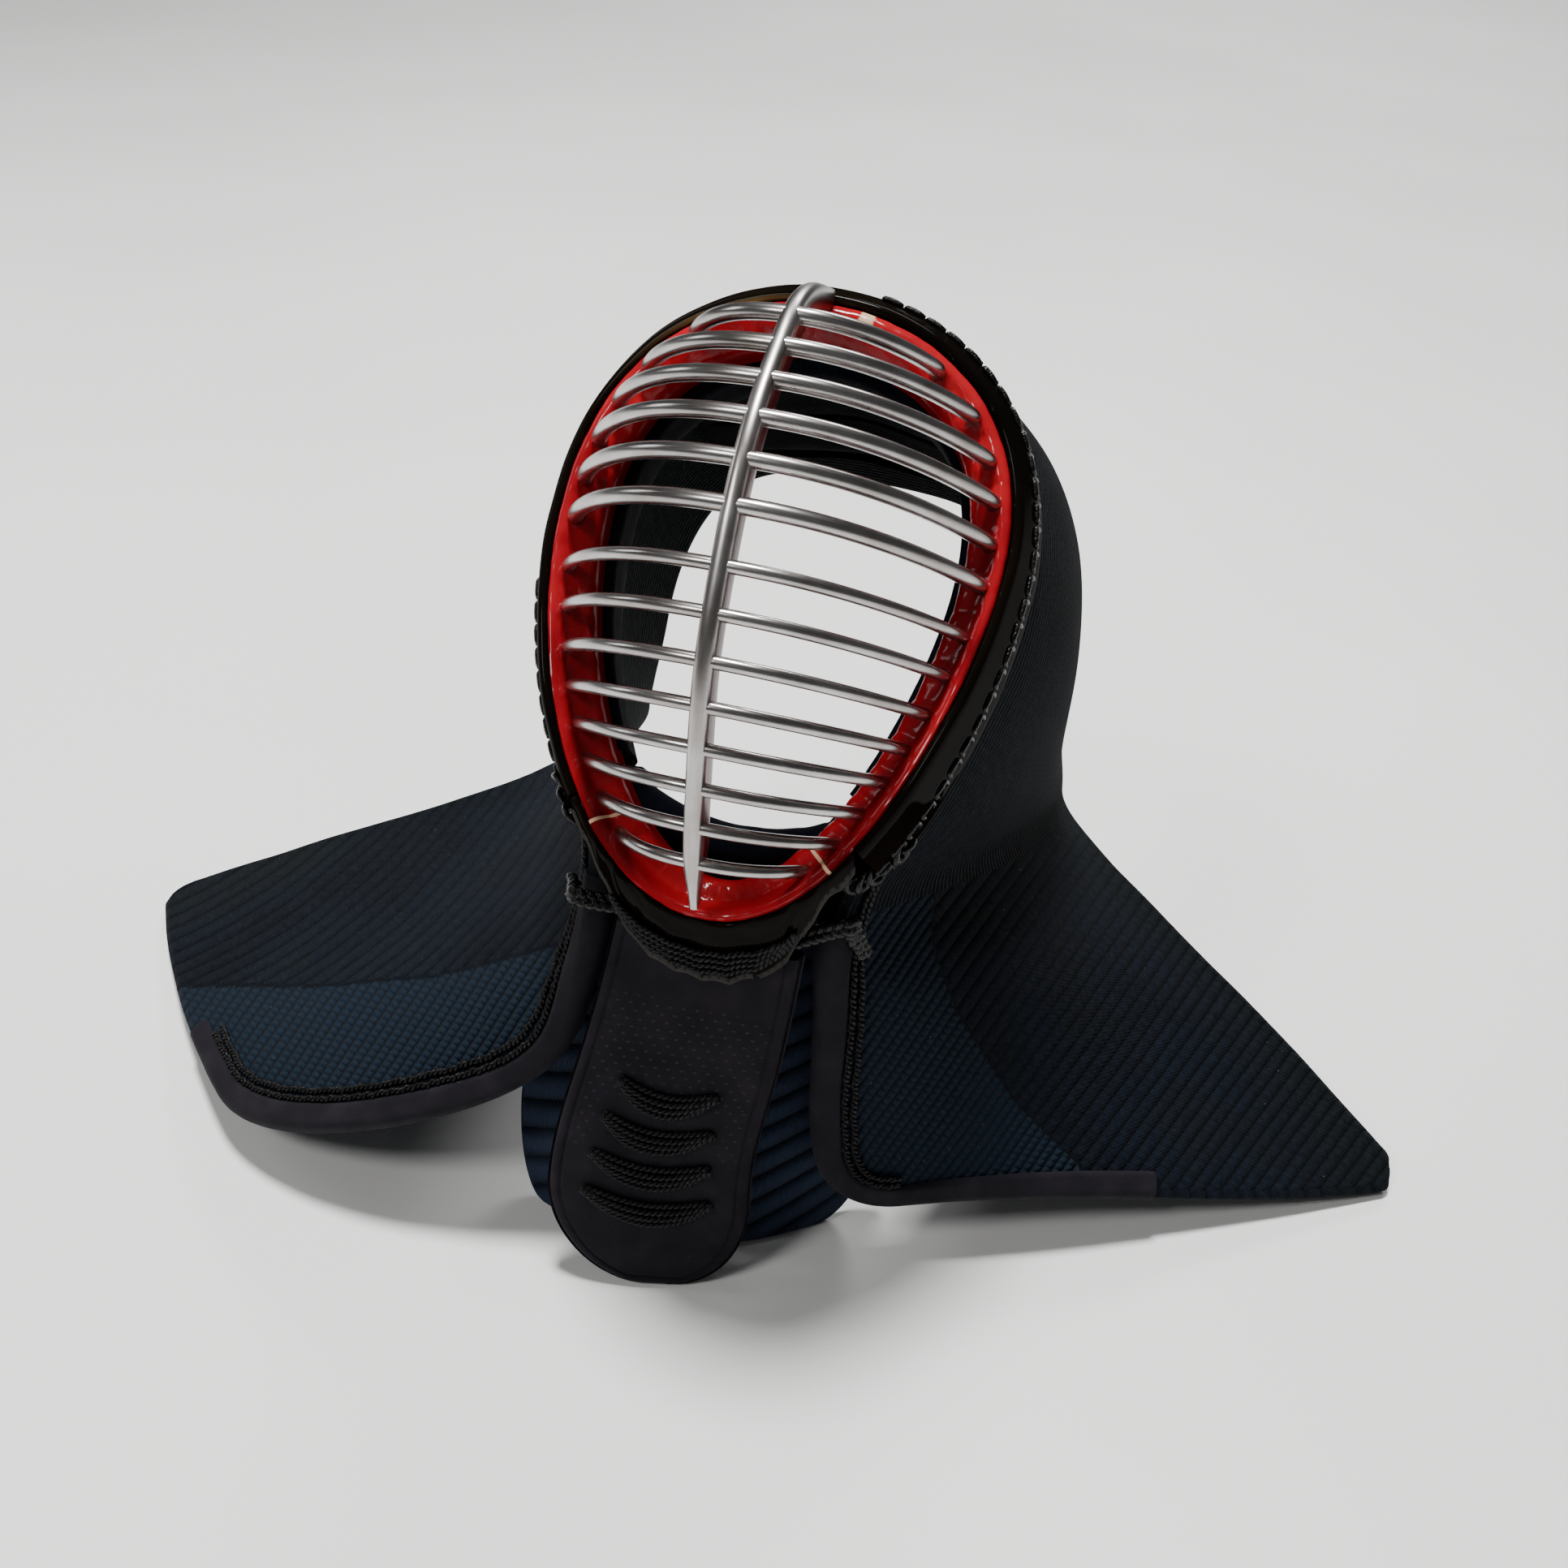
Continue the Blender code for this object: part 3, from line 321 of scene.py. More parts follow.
# A value in a shader's node tree; arithmetic on it adds math nodes
class Value:
    def __init__(self, tree, socket):
        self.tree, self.socket = tree, socket

    def reckon(self, operation, other=0.0, clamp=False):
        node = addNode(self.tree, "ShaderNodeMath", {0: self, 1: other}, operation=operation, use_clamp=clamp)
        return Value(self.tree, node.outputs[0])

    def __add__(self, other):
        return self.reckon("ADD", other)

    def __sub__(self, other):
        return self.reckon("SUBTRACT", other)

    def __mul__(self, other):
        return self.reckon("MULTIPLY", other)

    def __pow__(self, other):
        return self.reckon("POWER", other)

    def clamped(self):
        return self.reckon("ADD", clamp=True)

    # One less the value
    def rest(self):
        return self * -1.0 + 1.0

    # Humps of a sine: nil at whole numbers, one halfway between them
    def humps(self):
        return (self * math.pi).reckon("SINE").reckon("ABSOLUTE")

    # Half a step further on every other row
    def staggered(self, rows):
        return self + rows.reckon("FLOOR") * 0.5

    def parts(self):
        node = addNode(self.tree, "ShaderNodeSeparateXYZ", {0: self})
        return Value(self.tree, node.outputs["X"]), Value(self.tree, node.outputs["Y"])


# Puts a value, a plain number or a colour into a socket
def putIn(socket, value):
    if isinstance(value, Value):
        value.tree.links.new(value.socket, socket)
    elif socket.type == "RGBA":
        socket.default_value = (*value, 1.0)
    else:
        socket.default_value = value


def addNode(tree, kind, values=None, **settings):
    node = tree.nodes.new(kind)
    for key, value in settings.items():
        setattr(node, key, value)
    for key, value in (values or {}).items():
        putIn(node.inputs[key], value)
    return node


def noise(vector, scale, detail=2.0, roughness=0.5):
    node = addNode(vector.tree, "ShaderNodeTexNoise",
                   {"Vector": vector, "Scale": scale, "Detail": detail, "Roughness": roughness})
    return Value(vector.tree, node.outputs["Fac"])


def ramp(source, stops):
    node = addNode(source.tree, "ShaderNodeValToRGB", {0: source})
    elements = node.color_ramp.elements
    while len(elements) < len(stops):
        elements.new(0.5)
    for element, (position, colour) in zip(elements, stops):
        element.position, element.color = position, (*colour, 1.0)
    return Value(source.tree, node.outputs["Color"])


def mixColour(factor, first, second):
    tree = next(value.tree for value in (factor, first, second) if isinstance(value, Value))
    node = addNode(tree, "ShaderNodeMix", data_type="RGBA")
    sockets = {socket.identifier: socket for socket in node.inputs}
    for key, value in (("Factor_Float", factor), ("A_Color", first), ("B_Color", second)):
        putIn(sockets[key], value)
    return Value(tree, next(socket for socket in node.outputs if socket.identifier == "Result_Color"))


# A group that takes a vector and one number, and gives named numbers
def newGroup(name, label, value, outputs):
    group = bpy.data.node_groups.new(name, "ShaderNodeTree")
    group.interface.new_socket("Vector", in_out="INPUT", socket_type="NodeSocketVector")
    group.interface.new_socket(label, in_out="INPUT", socket_type="NodeSocketFloat").default_value = value
    for output in outputs:
        group.interface.new_socket(output, in_out="OUTPUT", socket_type="NodeSocketFloat")
    inside = group.nodes.new("NodeGroupInput")
    return group, Value(group, inside.outputs["Vector"]), Value(group, inside.outputs[label])


# Weave: two crossed waves and fine noise, as a height and as a mask of threads that catch the light
def weaveGroup():
    group, vector, scale = newGroup("clothWeave", "Scale", 900.0, ("Height", "ThreadGlints"))
    node = addNode(group, "ShaderNodeVectorMath", {0: vector, "Scale": scale}, operation="SCALE")
    scaled = Value(group, node.outputs[0])
    warp, weft = (part.reckon("SINE") for part in scaled.parts())
    height = warp * weft * 0.5 + noise(scaled, 0.35, 3.0)
    threads = (noise(scaled, 0.08, 5.0) * 2.2 - 0.75).clamped()
    addNode(group, "NodeGroupOutput", {"Height": height, "ThreadGlints": threads})
    return group


# Leather grain: cells and fine noise as a height, with slow blotches as a mask
def grainGroup():
    group, vector, scale = newGroup("leatherGrain", "Scale", 700.0, ("Height", "Blotch"))
    cells = addNode(group, "ShaderNodeTexVoronoi", {"Vector": vector, "Scale": scale})
    height = Value(group, cells.outputs["Distance"]) + noise(vector, scale * 0.5, 4.0)
    addNode(group, "NodeGroupOutput", {"Height": height, "Blotch": noise(vector, scale * 0.04, 3.0)})
    return group


# Lint: rare pale specks, as a mask
def lintGroup():
    group, vector, amount = newGroup("lint", "Amount", 0.5, ("Mask",))
    addNode(group, "NodeGroupOutput", {"Mask": ((noise(vector, 420.0) - 0.74) * 14.0).clamped() * amount})
    return group


effects = dict(weave=weaveGroup(), grain=grainGroup(), lint=lintGroup())


# An effect's group in the vector's tree, as a dictionary of its values
def placeGroup(effect, vector, **values):
    node = addNode(vector.tree, "ShaderNodeGroup", node_tree=effects[effect])
    for key, value in {"Vector": vector, **values}.items():
        putIn(node.inputs[key], value)
    return {socket.name: Value(vector.tree, socket) for socket in node.outputs}


# A material with its place in the object, and a function that reads a mask
def newMaterial(name):
    material = bpy.data.materials.new(name)
    material.use_nodes = True
    tree = material.node_tree

    def mask(label):
        return Value(tree, addNode(tree, "ShaderNodeAttribute", attribute_name=label).outputs["Fac"])
    return material, Value(tree, addNode(tree, "ShaderNodeTexCoord").outputs["Object"]), mask


def clothMap(vector):
    return Value(vector.tree, addNode(vector.tree, "ShaderNodeUVMap", uv_map="cloth").outputs["UV"])


# Fills the shader's sockets, with a bump of the height
def fillShader(material, values, height, strength, distance):
    tree = material.node_tree
    bump = addNode(tree, "ShaderNodeBump", {"Height": height, "Strength": strength, "Distance": distance})
    for key, value in {**values, "Normal": Value(tree, bump.outputs["Normal"])}.items():
        putIn(tree.nodes["Principled BSDF"].inputs[key], value)
    return material


steelLook = dict(
    bright=(0.50, 0.48, 0.47), dull=(0.36, 0.34, 0.33), tarnish=(0.25, 0.22, 0.19), lacquer=(0.13, 0.004, 0.007),
    smooth=0.17, satin=0.23,
)


# Worn polished steel: long streaks along the bar, tarnish by noise, and red lacquer on the side that faces inwards
def steelMaterial(name, rough):
    look = steelLook
    material, vector, mask = newMaterial(name)
    node = addNode(vector.tree, "ShaderNodeMapping", {"Scale": (22.0, 5.0, 1.0), "Vector": clothMap(vector)})
    streaks, patches = noise(Value(vector.tree, node.outputs[0]), 1.0, 4.0, 0.45), noise(vector, 38.0, 5.0, 0.6)
    tone = ramp(streaks * patches, [(0.10, look["tarnish"]), (0.22, look["dull"]), (0.36, look["bright"])])
    back = ((mask("inward") - 0.70) * 6.0).clamped()
    return fillShader(material, {
        "Base Color": mixColour(back, tone, look["lacquer"]), "Metallic": back.rest(),
        "Roughness": streaks * 0.16 + rough}, patches, 0.10, 0.0003)


# gilt is the brown-gold colour of painted highlights on the band's edges
lacquerLook = dict(
    red=(0.26, 0.006, 0.011), redDark=(0.085, 0.002, 0.004), redFresh=(0.36, 0.010, 0.015), cut=(0.62, 0.40, 0.26),
    black=(0.0022, 0.0018, 0.0015), brown=(0.0060, 0.0038, 0.0022), gilt=(0.26, 0.16, 0.06),
    pale=(0.060, 0.056, 0.052), redRough=0.14, blackRough=0.09,
)


# Red lacquer over hide: blotchy red with painted shade that darkens it down the inner wall, worn to pale hide where the
# wear mask says
def redMaterial():
    look = lacquerLook
    material, vector, mask = newMaterial("redLacquer")
    grain, deep = placeGroup("grain", vector, Scale=420.0), mask("deep")
    blotch = ramp(grain["Blotch"], [(0.32, look["redDark"]), (0.50, look["red"]), (0.72, look["redFresh"])])
    wear = ((mask("worn") * 1.6 + noise(vector, 260.0, 5.0) - 1.35) * 5.0).clamped()
    # deep marks how far down the inner wall; it darkens the red there as painted shade, and makes the wall rougher with
    # less coat
    rough = wear * 0.4 + (deep * 0.55 + (grain["Blotch"] * 0.22 + look["redRough"]))
    return fillShader(material, {
        "Base Color": mixColour(wear, mixColour(deep, blotch, look["redDark"]), look["cut"]), "Roughness": rough,
        "Coat Weight": (deep * -0.90 + 0.45).clamped(), "Specular IOR Level": 0.0, "Coat Roughness": 0.12,
    }, grain["Height"] * 0.10 + noise(vector, 150.0, 3.0), 0.40, 0.0010)


# Black lacquered leather: near black with brown where the lacquer is thin, painted brown-gold highlights where the edge
# glint mask says, soft ripples in the gloss
def blackMaterial():
    look = lacquerLook
    material, vector, mask = newMaterial("blackLacquer")
    grain, edge = placeGroup("grain", vector, Scale=350.0), mask("worn") * 0.7
    tone = mixColour(mask("gilt"), ramp(grain["Blotch"], [(0.35, look["black"]), (0.75, look["brown"])]), look["gilt"])
    return fillShader(material, {
        "Base Color": mixColour(edge, tone, look["pale"]),
        "Roughness": edge * 0.3 + (grain["Blotch"] * 0.06 + look["blackRough"]),
        "Specular IOR Level": 0.0, "Coat Weight": 0.07, "Coat Roughness": 0.07,
    }, grain["Height"] * 0.02 + noise(vector, 90.0, 3.0), 0.16, 0.0010)


# seam is the near black painted as shade into the quilt's grooves
quiltLook = dict(
    navy=(0.0030, 0.0046, 0.0094), deep=(0.0018, 0.0025, 0.0042), faded=(0.0042, 0.0058, 0.0064),
    corner=(0.0062, 0.0132, 0.0245), indigo=(0.0230, 0.0320, 0.0580), thread=(0.016, 0.022, 0.030),
    seam=(0.0006, 0.0008, 0.0012), lint=(0.18, 0.18, 0.18), pitch=0.0050, stitch=0.0030, flapPitch=0.0125,
)


# Quilted cotton: the map runs across the sewn rows and along them, in metres; rows stand up between stitch lines,
# stitches press small dots, and the corner mask gives the finer, bluer cloth at the front corners
def quiltMaterial(name, pitch, lift=1.0, bright=0.0):
    look = quiltLook
    material, vector, mask = newMaterial(name)
    across, along = clothMap(vector).parts()
    rows, corner = across * (1 / pitch), mask("corner")
    ridge, dots = rows.humps(), (along * (1 / look["stitch"])).staggered(rows).humps()
    weave = placeGroup("weave", vector, Scale=3800.0)
    speck = dots ** 5.0 * (ridge ** 0.5).rest() * (corner * 1.4 + 0.55)
    tone = ramp(noise(vector, 9.0, 4.0), [(0.30, look["deep"]), (0.50, look["navy"]), (0.70, look["faded"])])
    tone = mixColour(mask("faded"), tone, look["faded"])
    tone = mixColour(bright, mixColour(corner * 0.8, tone, look["corner"]), look["indigo"])
    # thread-coloured stitch specks, and painted glints where the weave's threads catch the light
    tone = mixColour(weave["ThreadGlints"] * 0.28 + speck * 0.6, tone, look["thread"])
    # painted shade: the colour darkens to near black in the grooves along the stitch lines
    tone = mixColour((ridge ** 0.7).rest() * 0.75, tone, look["seam"])
    height = ridge ** 0.6 * lift + dots * ridge * (corner * 0.5 + 0.15) + weave["Height"] * 0.22
    return fillShader(material, {
        "Base Color": mixColour(placeGroup("lint", vector, Amount=0.35)["Mask"], tone, look["lint"]),
        "Roughness": 0.9, "Specular IOR Level": 0.06, "Sheen Weight": 0.008, "Sheen Roughness": 0.5,
    }, height, 0.9, 0.0014)


suedeLook = dict(
    colour=(0.0084, 0.0072, 0.0104), light=(0.0130, 0.0112, 0.0152), dark=(0.0060, 0.0051, 0.0076),
    glintDot=(0.030, 0.030, 0.036), lint=(0.2, 0.19, 0.2), tint=(0.75, 0.65, 0.72), dotRows=0.0040, dotSteps=0.0058,
)


# Suede: soft nap that lightens in patches; on the flap the map also carries rows of pressed stitch dots, raised and
# painted lighter as glints
def suedeMaterial(name, dotted=False):
    look = suedeLook
    material, vector, mask = newMaterial(name)
    grain = placeGroup("grain", vector, Scale=1500.0)
    tone = ramp(grain["Blotch"], [(0.30, look["dark"]), (0.5, look["colour"]), (0.75, look["light"])])
    height = grain["Height"] * 0.3 + noise(vector, 2600.0) * 0.5
    if dotted:
        across, along = clothMap(vector).parts()
        rows = along * (1 / look["dotRows"])
        steps = (across * (1 / look["dotSteps"])).staggered(rows)
        glintDot = (rows.humps() * steps.humps()) ** 14.0 * mask("dotted")
        # painted highlight: each raised stitch dot is painted lighter as a glint
        tone, height = mixColour(glintDot * 0.8, tone, look["glintDot"]), height + glintDot * 1.6
    return fillShader(material, {
        "Base Color": mixColour(placeGroup("lint", vector, Amount=0.25)["Mask"], tone, look["lint"]),
        "Roughness": 0.92, "Specular IOR Level": 0.12, "Sheen Weight": 0.022, "Sheen Roughness": 0.45,
        "Sheen Tint": look["tint"]}, height, 0.4, 0.0006)


# Braided cord: silky black, lighter where threads of its weave catch the light
def cordMaterial(name, colour, roughness, specular):
    material, vector, _ = newMaterial(name)
    weave = placeGroup("weave", vector, Scale=5200.0)
    return fillShader(material, {
        "Base Color": mixColour(weave["ThreadGlints"] * 0.25, colour, (0.008, 0.008, 0.008)), "Roughness": roughness,
        "Specular IOR Level": specular}, weave["Height"], 0.5, 0.0004)


# Plain cotton of the pads: weave, faint creases, navy
def padMaterial():
    material, vector, _ = newMaterial("padCotton")
    weave, shade = placeGroup("weave", vector, Scale=2600.0), noise(vector, 22.0, 4.0)
    tone = ramp(shade, [(0.3, (0.0010, 0.0013, 0.0024)), (0.7, (0.0028, 0.0036, 0.0064))])
    # painted glints where the weave's threads catch the light
    return fillShader(material, {
        "Base Color": mixColour(weave["ThreadGlints"] * 0.20, tone, (0.008, 0.009, 0.013)), "Roughness": 0.9,
        "Specular IOR Level": 0.03}, weave["Height"] * 0.35 + shade, 0.5, 0.0012)


barSteel = steelMaterial("barSteel", steelLook["smooth"])
uprightSteel = steelMaterial("uprightSteel", steelLook["satin"])
redLacquer = redMaterial()
blackLacquer = blackMaterial()
hoodQuilt = quiltMaterial("hoodQuilt", quiltLook["pitch"])
flapQuilt = quiltMaterial("flapQuilt", quiltLook["flapPitch"], lift=1.6, bright=0.9)
bindingSuede = suedeMaterial("bindingSuede")
flapSuede = suedeMaterial("flapSuede", dotted=True)
blackCord = cordMaterial("blackCord", (0.0016, 0.0016, 0.0019), 0.34, 0.13)
leatherLace = cordMaterial("leatherLace", (0.0022, 0.0020, 0.0018), 0.20, 0.20)
padCotton = padMaterial()
print("materials made")


# Upright bar's middle line as b and c against its own length, which is nil at the gap the wearer looks through
def spineCurve(count=500):
    heights = np.array([-1.07, -0.92, -0.74, -0.42, -0.09, 0.30, 0.68, 0.95, 1.06]) * guard["halfHeight"]
    bulges = np.array([-0.07, 0.20, 0.44, 0.80, 0.960, 1.000, 0.814, 0.45, 0.08]) * bars["bulge"]
    b = np.linspace(heights[0], heights[-1], count)
    c = spline(heights, bulges, b)
    length = lengthAlong(np.stack([b, c], axis=1))
    return b, c, length - np.interp(0, b, length)


bars = dict(
    count=14, aboveGap=6, pitch=0.017, lookGap=0.0215, upper=0.0066, lower=0.0052, bulge=0.077, drop=0.008,
    buried=0.0085, ringWidth=0.008, ringDepth=0.0075, archPower=2.4, archFlat=0.91,
    uprightWidth=0.0076, uprightFront=0.0038, uprightBack=0.0105,
    uprightOutline=[(0.72, -0.97), (0.93, -0.90), (1.0, -0.70), (1.0, -0.25), (0.98, 0.15), (0.88, 0.52), (0.66, 0.80),
                    (0.36, 0.95), (0.0, 1.0)],
)


def barPlaces():
    above = [bars["lookGap"] / 2 + bars["pitch"] * i for i in range(bars["aboveGap"])][::-1]
    below = [-bars["lookGap"] / 2 - bars["pitch"] * i for i in range(bars["count"] - bars["aboveGap"])]
    return np.array(above + below)


# Cross bar: flat in the middle and turned back at its ends by a power of the distance from the middle
def barLine(length, segments):
    bLine, cLine, arc = spineCurve()
    b, c = np.interp(length, arc, bLine), np.interp(length, arc, cLine)
    endB = min(b + bars["drop"], 0.97 * guard["halfHeight"] - guard["drop"])
    angles = np.linspace(0.01, math.pi - 0.01, 600)
    widths, heights = egg(angles)
    half = np.interp(endB, heights[::-1], widths[::-1])
    angle = np.interp(endB, heights[::-1], angles[::-1])
    endC = endsDepth(endB)
    across = np.sin(np.linspace(-math.pi / 2, math.pi / 2, segments + 1))
    fall = np.abs(across)
    arch = (1 - fall**bars["archPower"]) ** bars["archFlat"]
    return half * across, b + (endB - b) * fall ** (bars["archPower"] + 0.2), endC + (c - endC) * arch, angle


# Share by which each point of a ring faces into the helmet, for the lacquer on the bars' backs
def inwardShare(rings):
    away = unit(rings - rings.mean(axis=1, keepdims=True))
    return away @ turned(0.0, 0.0, -1.0) * 0.5 + 0.5


def makeGrill():
    rings = []
    sink = turned(0.0, 0.0, -(bars["buried"] + bars["ringDepth"] / 2))
    for number, at in enumerate(barPlaces()):
        a, b, c, _ = barLine(at, 52)
        line = place(a, b, c)
        line = np.concatenate([line[:1] + sink, line[:1] + sink * 0.3, line, line[-1:] + sink * 0.3, line[-1:] + sink])
        radius = (bars["upper"] if number < bars["aboveGap"] else bars["lower"]) / 2
        rings.append(tubePoints(line, radius, radius, 18, up=turned(0.0, 1.0, 0.0), domed=False))
    points, quads, run = joinTubes(rings)
    back = np.concatenate([inwardShare(ring).ravel() for ring in rings])
    makePiece("crossBars", points, quads, barSteel, uv=run, masks={"inward": back}, replaces=("grill",),
              slot="polished_metal")
    b, c, arc = spineCurve()
    at = np.linspace(arc[0], arc[-1], 110)
    line = place(0.0, np.interp(at, arc, b), np.interp(at, arc, c))
    along = unit(np.gradient(line, axis=0))
    front = np.cross(along, (1.0, 0.0, 0.0))
    front *= np.sign(front @ turned(0.0, 0.0, 1.0))[:, None]
    half, ahead, behind = bars["uprightWidth"] / 2, bars["uprightFront"], bars["uprightBack"]
    outline = bars["uprightOutline"] + [(-x, y) for x, y in bars["uprightOutline"][-2::-1]]
    slim = (0.45 + 0.55 * smoothStep(at, at[0], at[0] + 0.030) - 0.15 * smoothStep(at, at[-1] - 0.03, at[-1]))[:, None]
    side = np.array([1.0, 0.0, 0.0])
    ring = np.stack([line + (side * x * half + front * (y * (ahead if y > 0 else behind))) * slim
                     for x, y in outline], axis=1)
    ends = [drawnIn(ring[i], 0.4)[None] for i in (0, -1)]
    points, quads, run = joinTubes([np.concatenate([ends[0], ring, ends[1]])])
    back = np.array([0.5 - y * 0.5 if y < 0 else 0.3 for x, y in outline])
    back = np.where(back > 0.62, 0.95, back)
    makePiece("uprightBar", points, quads, uprightSteel, uv=run,
              masks={"inward": np.tile(back, len(at) + 2)}, slot="polished_metal")
    angles = np.linspace(0, 2 * math.pi, 201)[:-1]
    section = [(bars["ringWidth"] / 2 * x, -bars["buried"] - bars["ringDepth"] * (0.5 - 0.5 * y))
               for x, y in ((-1, 0.8), (-0.8, 1), (0.8, 1), (1, 0.8), (1, -0.8), (0.8, -1), (-0.8, -1), (-1, -0.8))]
    ring = np.stack([rim(angles, out, depth) for out, depth in section], axis=1)
    # the ring sits deep behind the facing and is painted all round in the wall's shade red
    makePiece("grillRing", ring, gridQuads(200, 8, closeRows=True, closeColumns=True), redLacquer, slot="red_lacquer",
              masks={"deep": np.ones(1600)})


makeGrill()
print("grill made")

facing = dict(lip=0.0070, inner=0.0095, wall=0.022, thick=0.0026, seam=0.80, stations=640, pad=0.0013, padReach=0.0052,
              fold=0.00055, foldAway=0.0085, foldReach=0.0016, overlap=0.012, chinGrow=0.0007)


# Rows of a section of out, depth and levelling, one for each place round the guard
def rimRows(section, angles):
    return np.stack([rim(angles, out, depth, lip) for out, depth, lip in section], axis=1)


# Rows closed at both ends: a copy of the end drawn in to a share, and the plain row drawn in to almost a point
def closeSweep(plain, rows, ends=None, share=0.5):
    ends = plain if ends is None else ends
    first, last = [(drawnIn(plain[i], 0.02)[None], drawnIn(ends[i], share)[None]) for i in (0, -1)]
    return np.concatenate([*first, rows, *last[::-1]])


# One piece of rows that are each closed to a ring
def makeRings(name, rows, material, **more):
    return makePiece(name, rows, gridQuads(len(rows), rows.shape[1], closeColumns=True), material, **more)


# Closed smooth section through control points, evenly spread, by a spline run round it three times
def smoothSection(control, count):
    control = np.array(control)
    total = len(control)
    run = np.concatenate([control, control, control])
    length = np.concatenate([[0], np.cumsum(np.linalg.norm(np.diff(run[:, :2], axis=0), axis=1) + 1e-5)])
    at = np.linspace(length[total], length[2 * total], count + 1)[:-1]
    return spline(length, run, at)


# Facing: wrinkled hide; it swells into a pad round each bar end and folds crosswise between them
def makeFacing(name, start, stop, node, grow=0.0):
    look = facing
    thick, inner = look["thick"], look["inner"]
    control = [
        (look["lip"], -0.0004, 1), (0.0062, 0.0008, 0.96), (0.0034, 0.0010, 0.65), (0.0010, -0.0010, 0.3),
        (-0.0025, -0.0028, 0.1), (-0.0055, -0.0045, 0), (-0.0082, -0.0075, 0), (-0.0093, -0.0115, 0),
        (-inner, -0.0165, 0), (-inner, -look["wall"], 0), (-inner + thick, -look["wall"], 0),
        (-inner + thick, -0.0140, 0), (-0.0058, -0.0092, 0), (-0.0030, -0.0064, 0.1), (0.0030, -thick - 0.0010, 0.7),
        (look["lip"], -thick, 1),
    ]
    section = smoothSection(control, 56)
    out, depth = section[:, 0], section[:, 1]
    angles = np.linspace(start, stop, int(look["stations"] * (stop - start) / 2)) * math.pi
    plain = rimRows(section, angles)
    normal = unit(np.cross(np.gradient(plain, axis=0), np.roll(plain, -1, axis=1) - np.roll(plain, 1, axis=1)))
    sign = np.sign(((plain - plain.mean(axis=1, keepdims=True)) * normal).sum(axis=(1, 2)))
    normal *= np.where(sign < 0, -1, 1)[:, None, None]
    backSide = (out > -0.0075) & (depth < -0.008) | (depth < -0.0035) & (out > 0.001)
    slope = np.where(backSide, 0, bell(depth + 0.0045, 0.0045) * (out < 0.003))
    swell = np.zeros((len(angles), len(section)))
    for at in barPlaces():
        angle = barLine(at, 8)[3]
        for side in (angle, 2 * math.pi - angle, -angle):
            away = (angles - side) * guard["meanRadius"]
            rise = (bell(away, look["padReach"]) * look["pad"]
                    - bell(away - look["foldAway"], look["foldReach"]) * look["fold"])
            swell += rise[:, None] * slope
    arc, deep = angles[:, None] * guard["meanRadius"], depth[None, :]
    folds = ripple(arc, deep * 0.35, 0.0085, 2) * 0.6 + ripple(arc + deep * 0.5, deep, 0.0042, 5) * 0.4
    shown = (out < 0.004) & (depth > -0.02) & ~backSide
    swell += folds * look["fold"] * shown * (0.35 + 0.65 * slope / slope.max())
    swell += ripple(arc, arc * 0, 0.012, 8) * 0.00022 * (depth > -0.002)
    rows = plain + normal * (swell + grow * ~backSide)[..., None]
    shape = closeSweep(plain, rows, rows, 0.97)
    # painted shade: the red darkens the deeper it goes down the inner wall
    wallShadeMask = np.clip((-0.006 - depth) / 0.008, 0, 1) * 0.75
    worn = (bell(angles + 0.33, 0.22)[:, None] * ((out > 0.0052) & (depth > -0.002)) * 0.8
            + bell(angles - 0.16, 0.045)[:, None] * (out > -0.002) * 0.9)
    if grow:
        cutEnds = np.minimum(np.arange(len(angles)), np.arange(len(angles))[::-1]) < 2
        worn = worn * 0 + cutEnds[:, None]
    masks = {"deep": np.broadcast_to(wallShadeMask, shape.shape[:2]), "worn": np.pad(worn, ((2, 2), (0, 0)), "edge")}
    makeRings(name, shape, redLacquer, masks=masks, replaces=(node,), slot="red_lacquer", weld=0)


makeFacing("redFacing", -facing["seam"], facing["seam"], "upper_facing")
ends = facing["seam"] - facing["overlap"]
makeFacing("redChinFacing", ends, 2 - ends, "chin_facing", grow=facing["chinGrow"])
print("facing made")

band = dict(reach=0.0120, depth=0.0233, thick=0.0024, jaw=0.75, stations=420, dent=0.00035)


